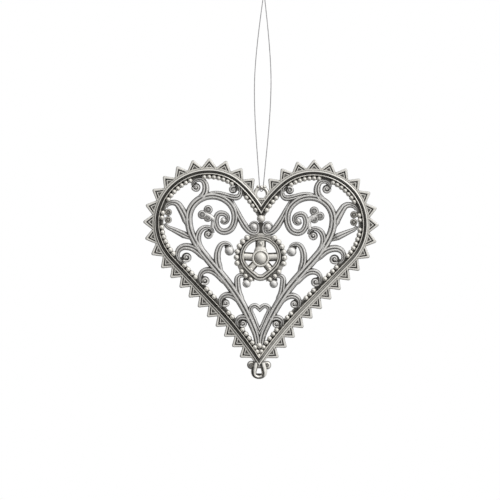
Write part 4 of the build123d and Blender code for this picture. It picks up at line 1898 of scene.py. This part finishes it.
@dataclass
class Studio:
    """Camera, soft lights, white surroundings and pale floor, with places in metres."""

    view_centre: Corner = (-4.5 * MM, -107.8 * MM)
    view_width: float = 212.3 * MM
    distance: float = 2.6
    sensor: float = 36.0
    roll: float = 0.75
    far_clip: float = 100.0
    softbox_size: float = 0.6
    softboxes: tuple[tuple[str, Point, float], ...] = (
        ("key_softbox", (0.6, -0.75, 0.5), 1.1),
        ("top_softbox", (0.1, -0.25, 0.8), 0.9),
        ("back_softbox", (0.5, 0.8, 0.4), 1.1),
    )
    bright_side: Point = (0.7, -0.12, 0.7)
    surround: tuple[Corner, ...] = (
        (0.0, 0.02), (0.24, 0.04), (0.36, 0.13), (0.46, 0.42), (0.54, 0.68), (0.68, 0.84),
        (0.86, 0.96), (1.0, 1.0),
    )
    backdrop: tuple[float, float, float, float] = (0.35, 0.9, 0.0, 0.7)
    white: Colour = (1.0, 1.0, 1.0, 1.0)
    floor_height: float = -0.5
    floor_size: float = 6.0
    floor_tone: Colour = (0.9, 0.9, 0.9, 1.0)
    floor_roughness: float = 0.9
    floor_white: float = 0.75

    def build(self) -> None:
        """Sets up the whole studio."""
        bpy.context.scene.view_settings.view_transform = "Standard"
        self._camera()
        self._world()
        self._floor()
        for softbox in self.softboxes:
            self._softbox(*softbox)

    def _camera(self) -> None:
        """Stands the camera straight before the heart, with a long lens."""
        Bench.clear()
        across, up = self.view_centre
        bpy.ops.object.camera_add(
            location=(across, -self.distance, up),
            rotation=(math.pi / 2, -math.radians(self.roll), 0),
        )
        camera = Bench.active()
        camera.data.sensor_width = self.sensor
        camera.data.lens = self.sensor * self.distance / self.view_width
        camera.data.clip_end = self.far_clip
        bpy.context.scene.camera = camera

    def _softbox(self, name: str, place: Point, power: float) -> None:
        """Hangs a square soft light that points at the heart.

        Args:
            name: The light's name.
            place: Where it hangs, in metres.
            power: Its power in watts.
        """
        Bench.clear()
        bpy.ops.object.light_add(type="AREA", location=place)
        lamp = Bench.active()
        lamp.name = name
        lamp.data.size = self.softbox_size
        lamp.data.energy = power
        aim = Vector((0, 0, self.view_centre[1])) - Vector(place)
        lamp.rotation_euler = aim.to_track_quat("-Z", "Y").to_euler()

    def _world(self) -> None:
        """Makes white surroundings, with light from the upper right and dark flags low left."""
        world = bpy.context.scene.world or bpy.data.worlds.new("studio")
        bpy.context.scene.world = world
        world.use_nodes = True
        board = NodeBoard(world.node_tree)
        outward = board.add("ShaderNodeTexCoord").outputs["Generated"]
        toward = board.add(
            "ShaderNodeVectorMath",
            {"operation": "DOT_PRODUCT"},
            {0: outward, 1: Vector(self.bright_side).normalized()},
        )
        side = board.shade(toward, "Value") * 0.5 + 0.5
        ramp = board.add("ShaderNodeValToRGB", {"stops": self.surround}, {0: side})
        path = board.add("ShaderNodeLightPath")
        apart = board.add("ShaderNodeSeparateXYZ", inputs={0: outward})
        behind = board.shade(apart, "Y").step(*self.backdrop)
        mirrored = board.shade(path, "Is Glossy Ray") * behind
        seen = board.shade(path, "Is Camera Ray") + board.shade(path, "Is Transmission Ray")
        light = board.mix(seen + mirrored, ramp.outputs["Color"], self.white)
        glow = board.add("ShaderNodeBackground", inputs={"Color": light, "Strength": 1.0})
        board.add("ShaderNodeOutputWorld", inputs={"Surface": glow.outputs[0]})

    def _floor(self) -> None:
        """Lays the pale floor below the hanging heart."""
        Bench.clear()
        bpy.ops.mesh.primitive_plane_add(size=self.floor_size, location=(0, 0, self.floor_height))
        floor = Bench.settle(Bench.active())
        floor.name = "pale_floor"
        made, board = NodeBoard.material("pale_floor")
        paint = board.add(
            "ShaderNodeBsdfPrincipled",
            inputs={"Base Color": self.floor_tone, "Roughness": self.floor_roughness},
        )
        glow = board.add("ShaderNodeEmission", inputs={"Color": self.white})
        path = board.add("ShaderNodeLightPath")
        seen = board.shade(path, "Is Camera Ray") * self.floor_white
        both = board.add(
            "ShaderNodeMixShader", inputs={0: seen, 1: paint.outputs[0], 2: glow.outputs[0]}
        )
        board.add("ShaderNodeOutputMaterial", inputs={"Surface": both.outputs[0]})
        floor.data.materials.append(made)
        floor.visible_glossy = False


def main() -> None:
    """Builds the studio, the thread and the heart, and gathers every piece in one list."""
    logging.basicConfig(level=logging.INFO, format="%(name)s: %(message)s")
    Studio().build()
    finishes = Finishes()
    thread = Thread(finishes)
    scrolls = Scrollwork(finishes)
    border = Border(finishes)
    rosette = Rosette(finishes)
    fittings = Fittings(finishes)
    made = thread.build()
    scrolls.build()
    border.build(scrolls.keep_clear)
    rosette.build(scrolls.keep_clear)
    fittings.build()
    for assembly in (scrolls, border, rosette, fittings):
        made += assembly.done


if __name__ == "__main__":
    main()
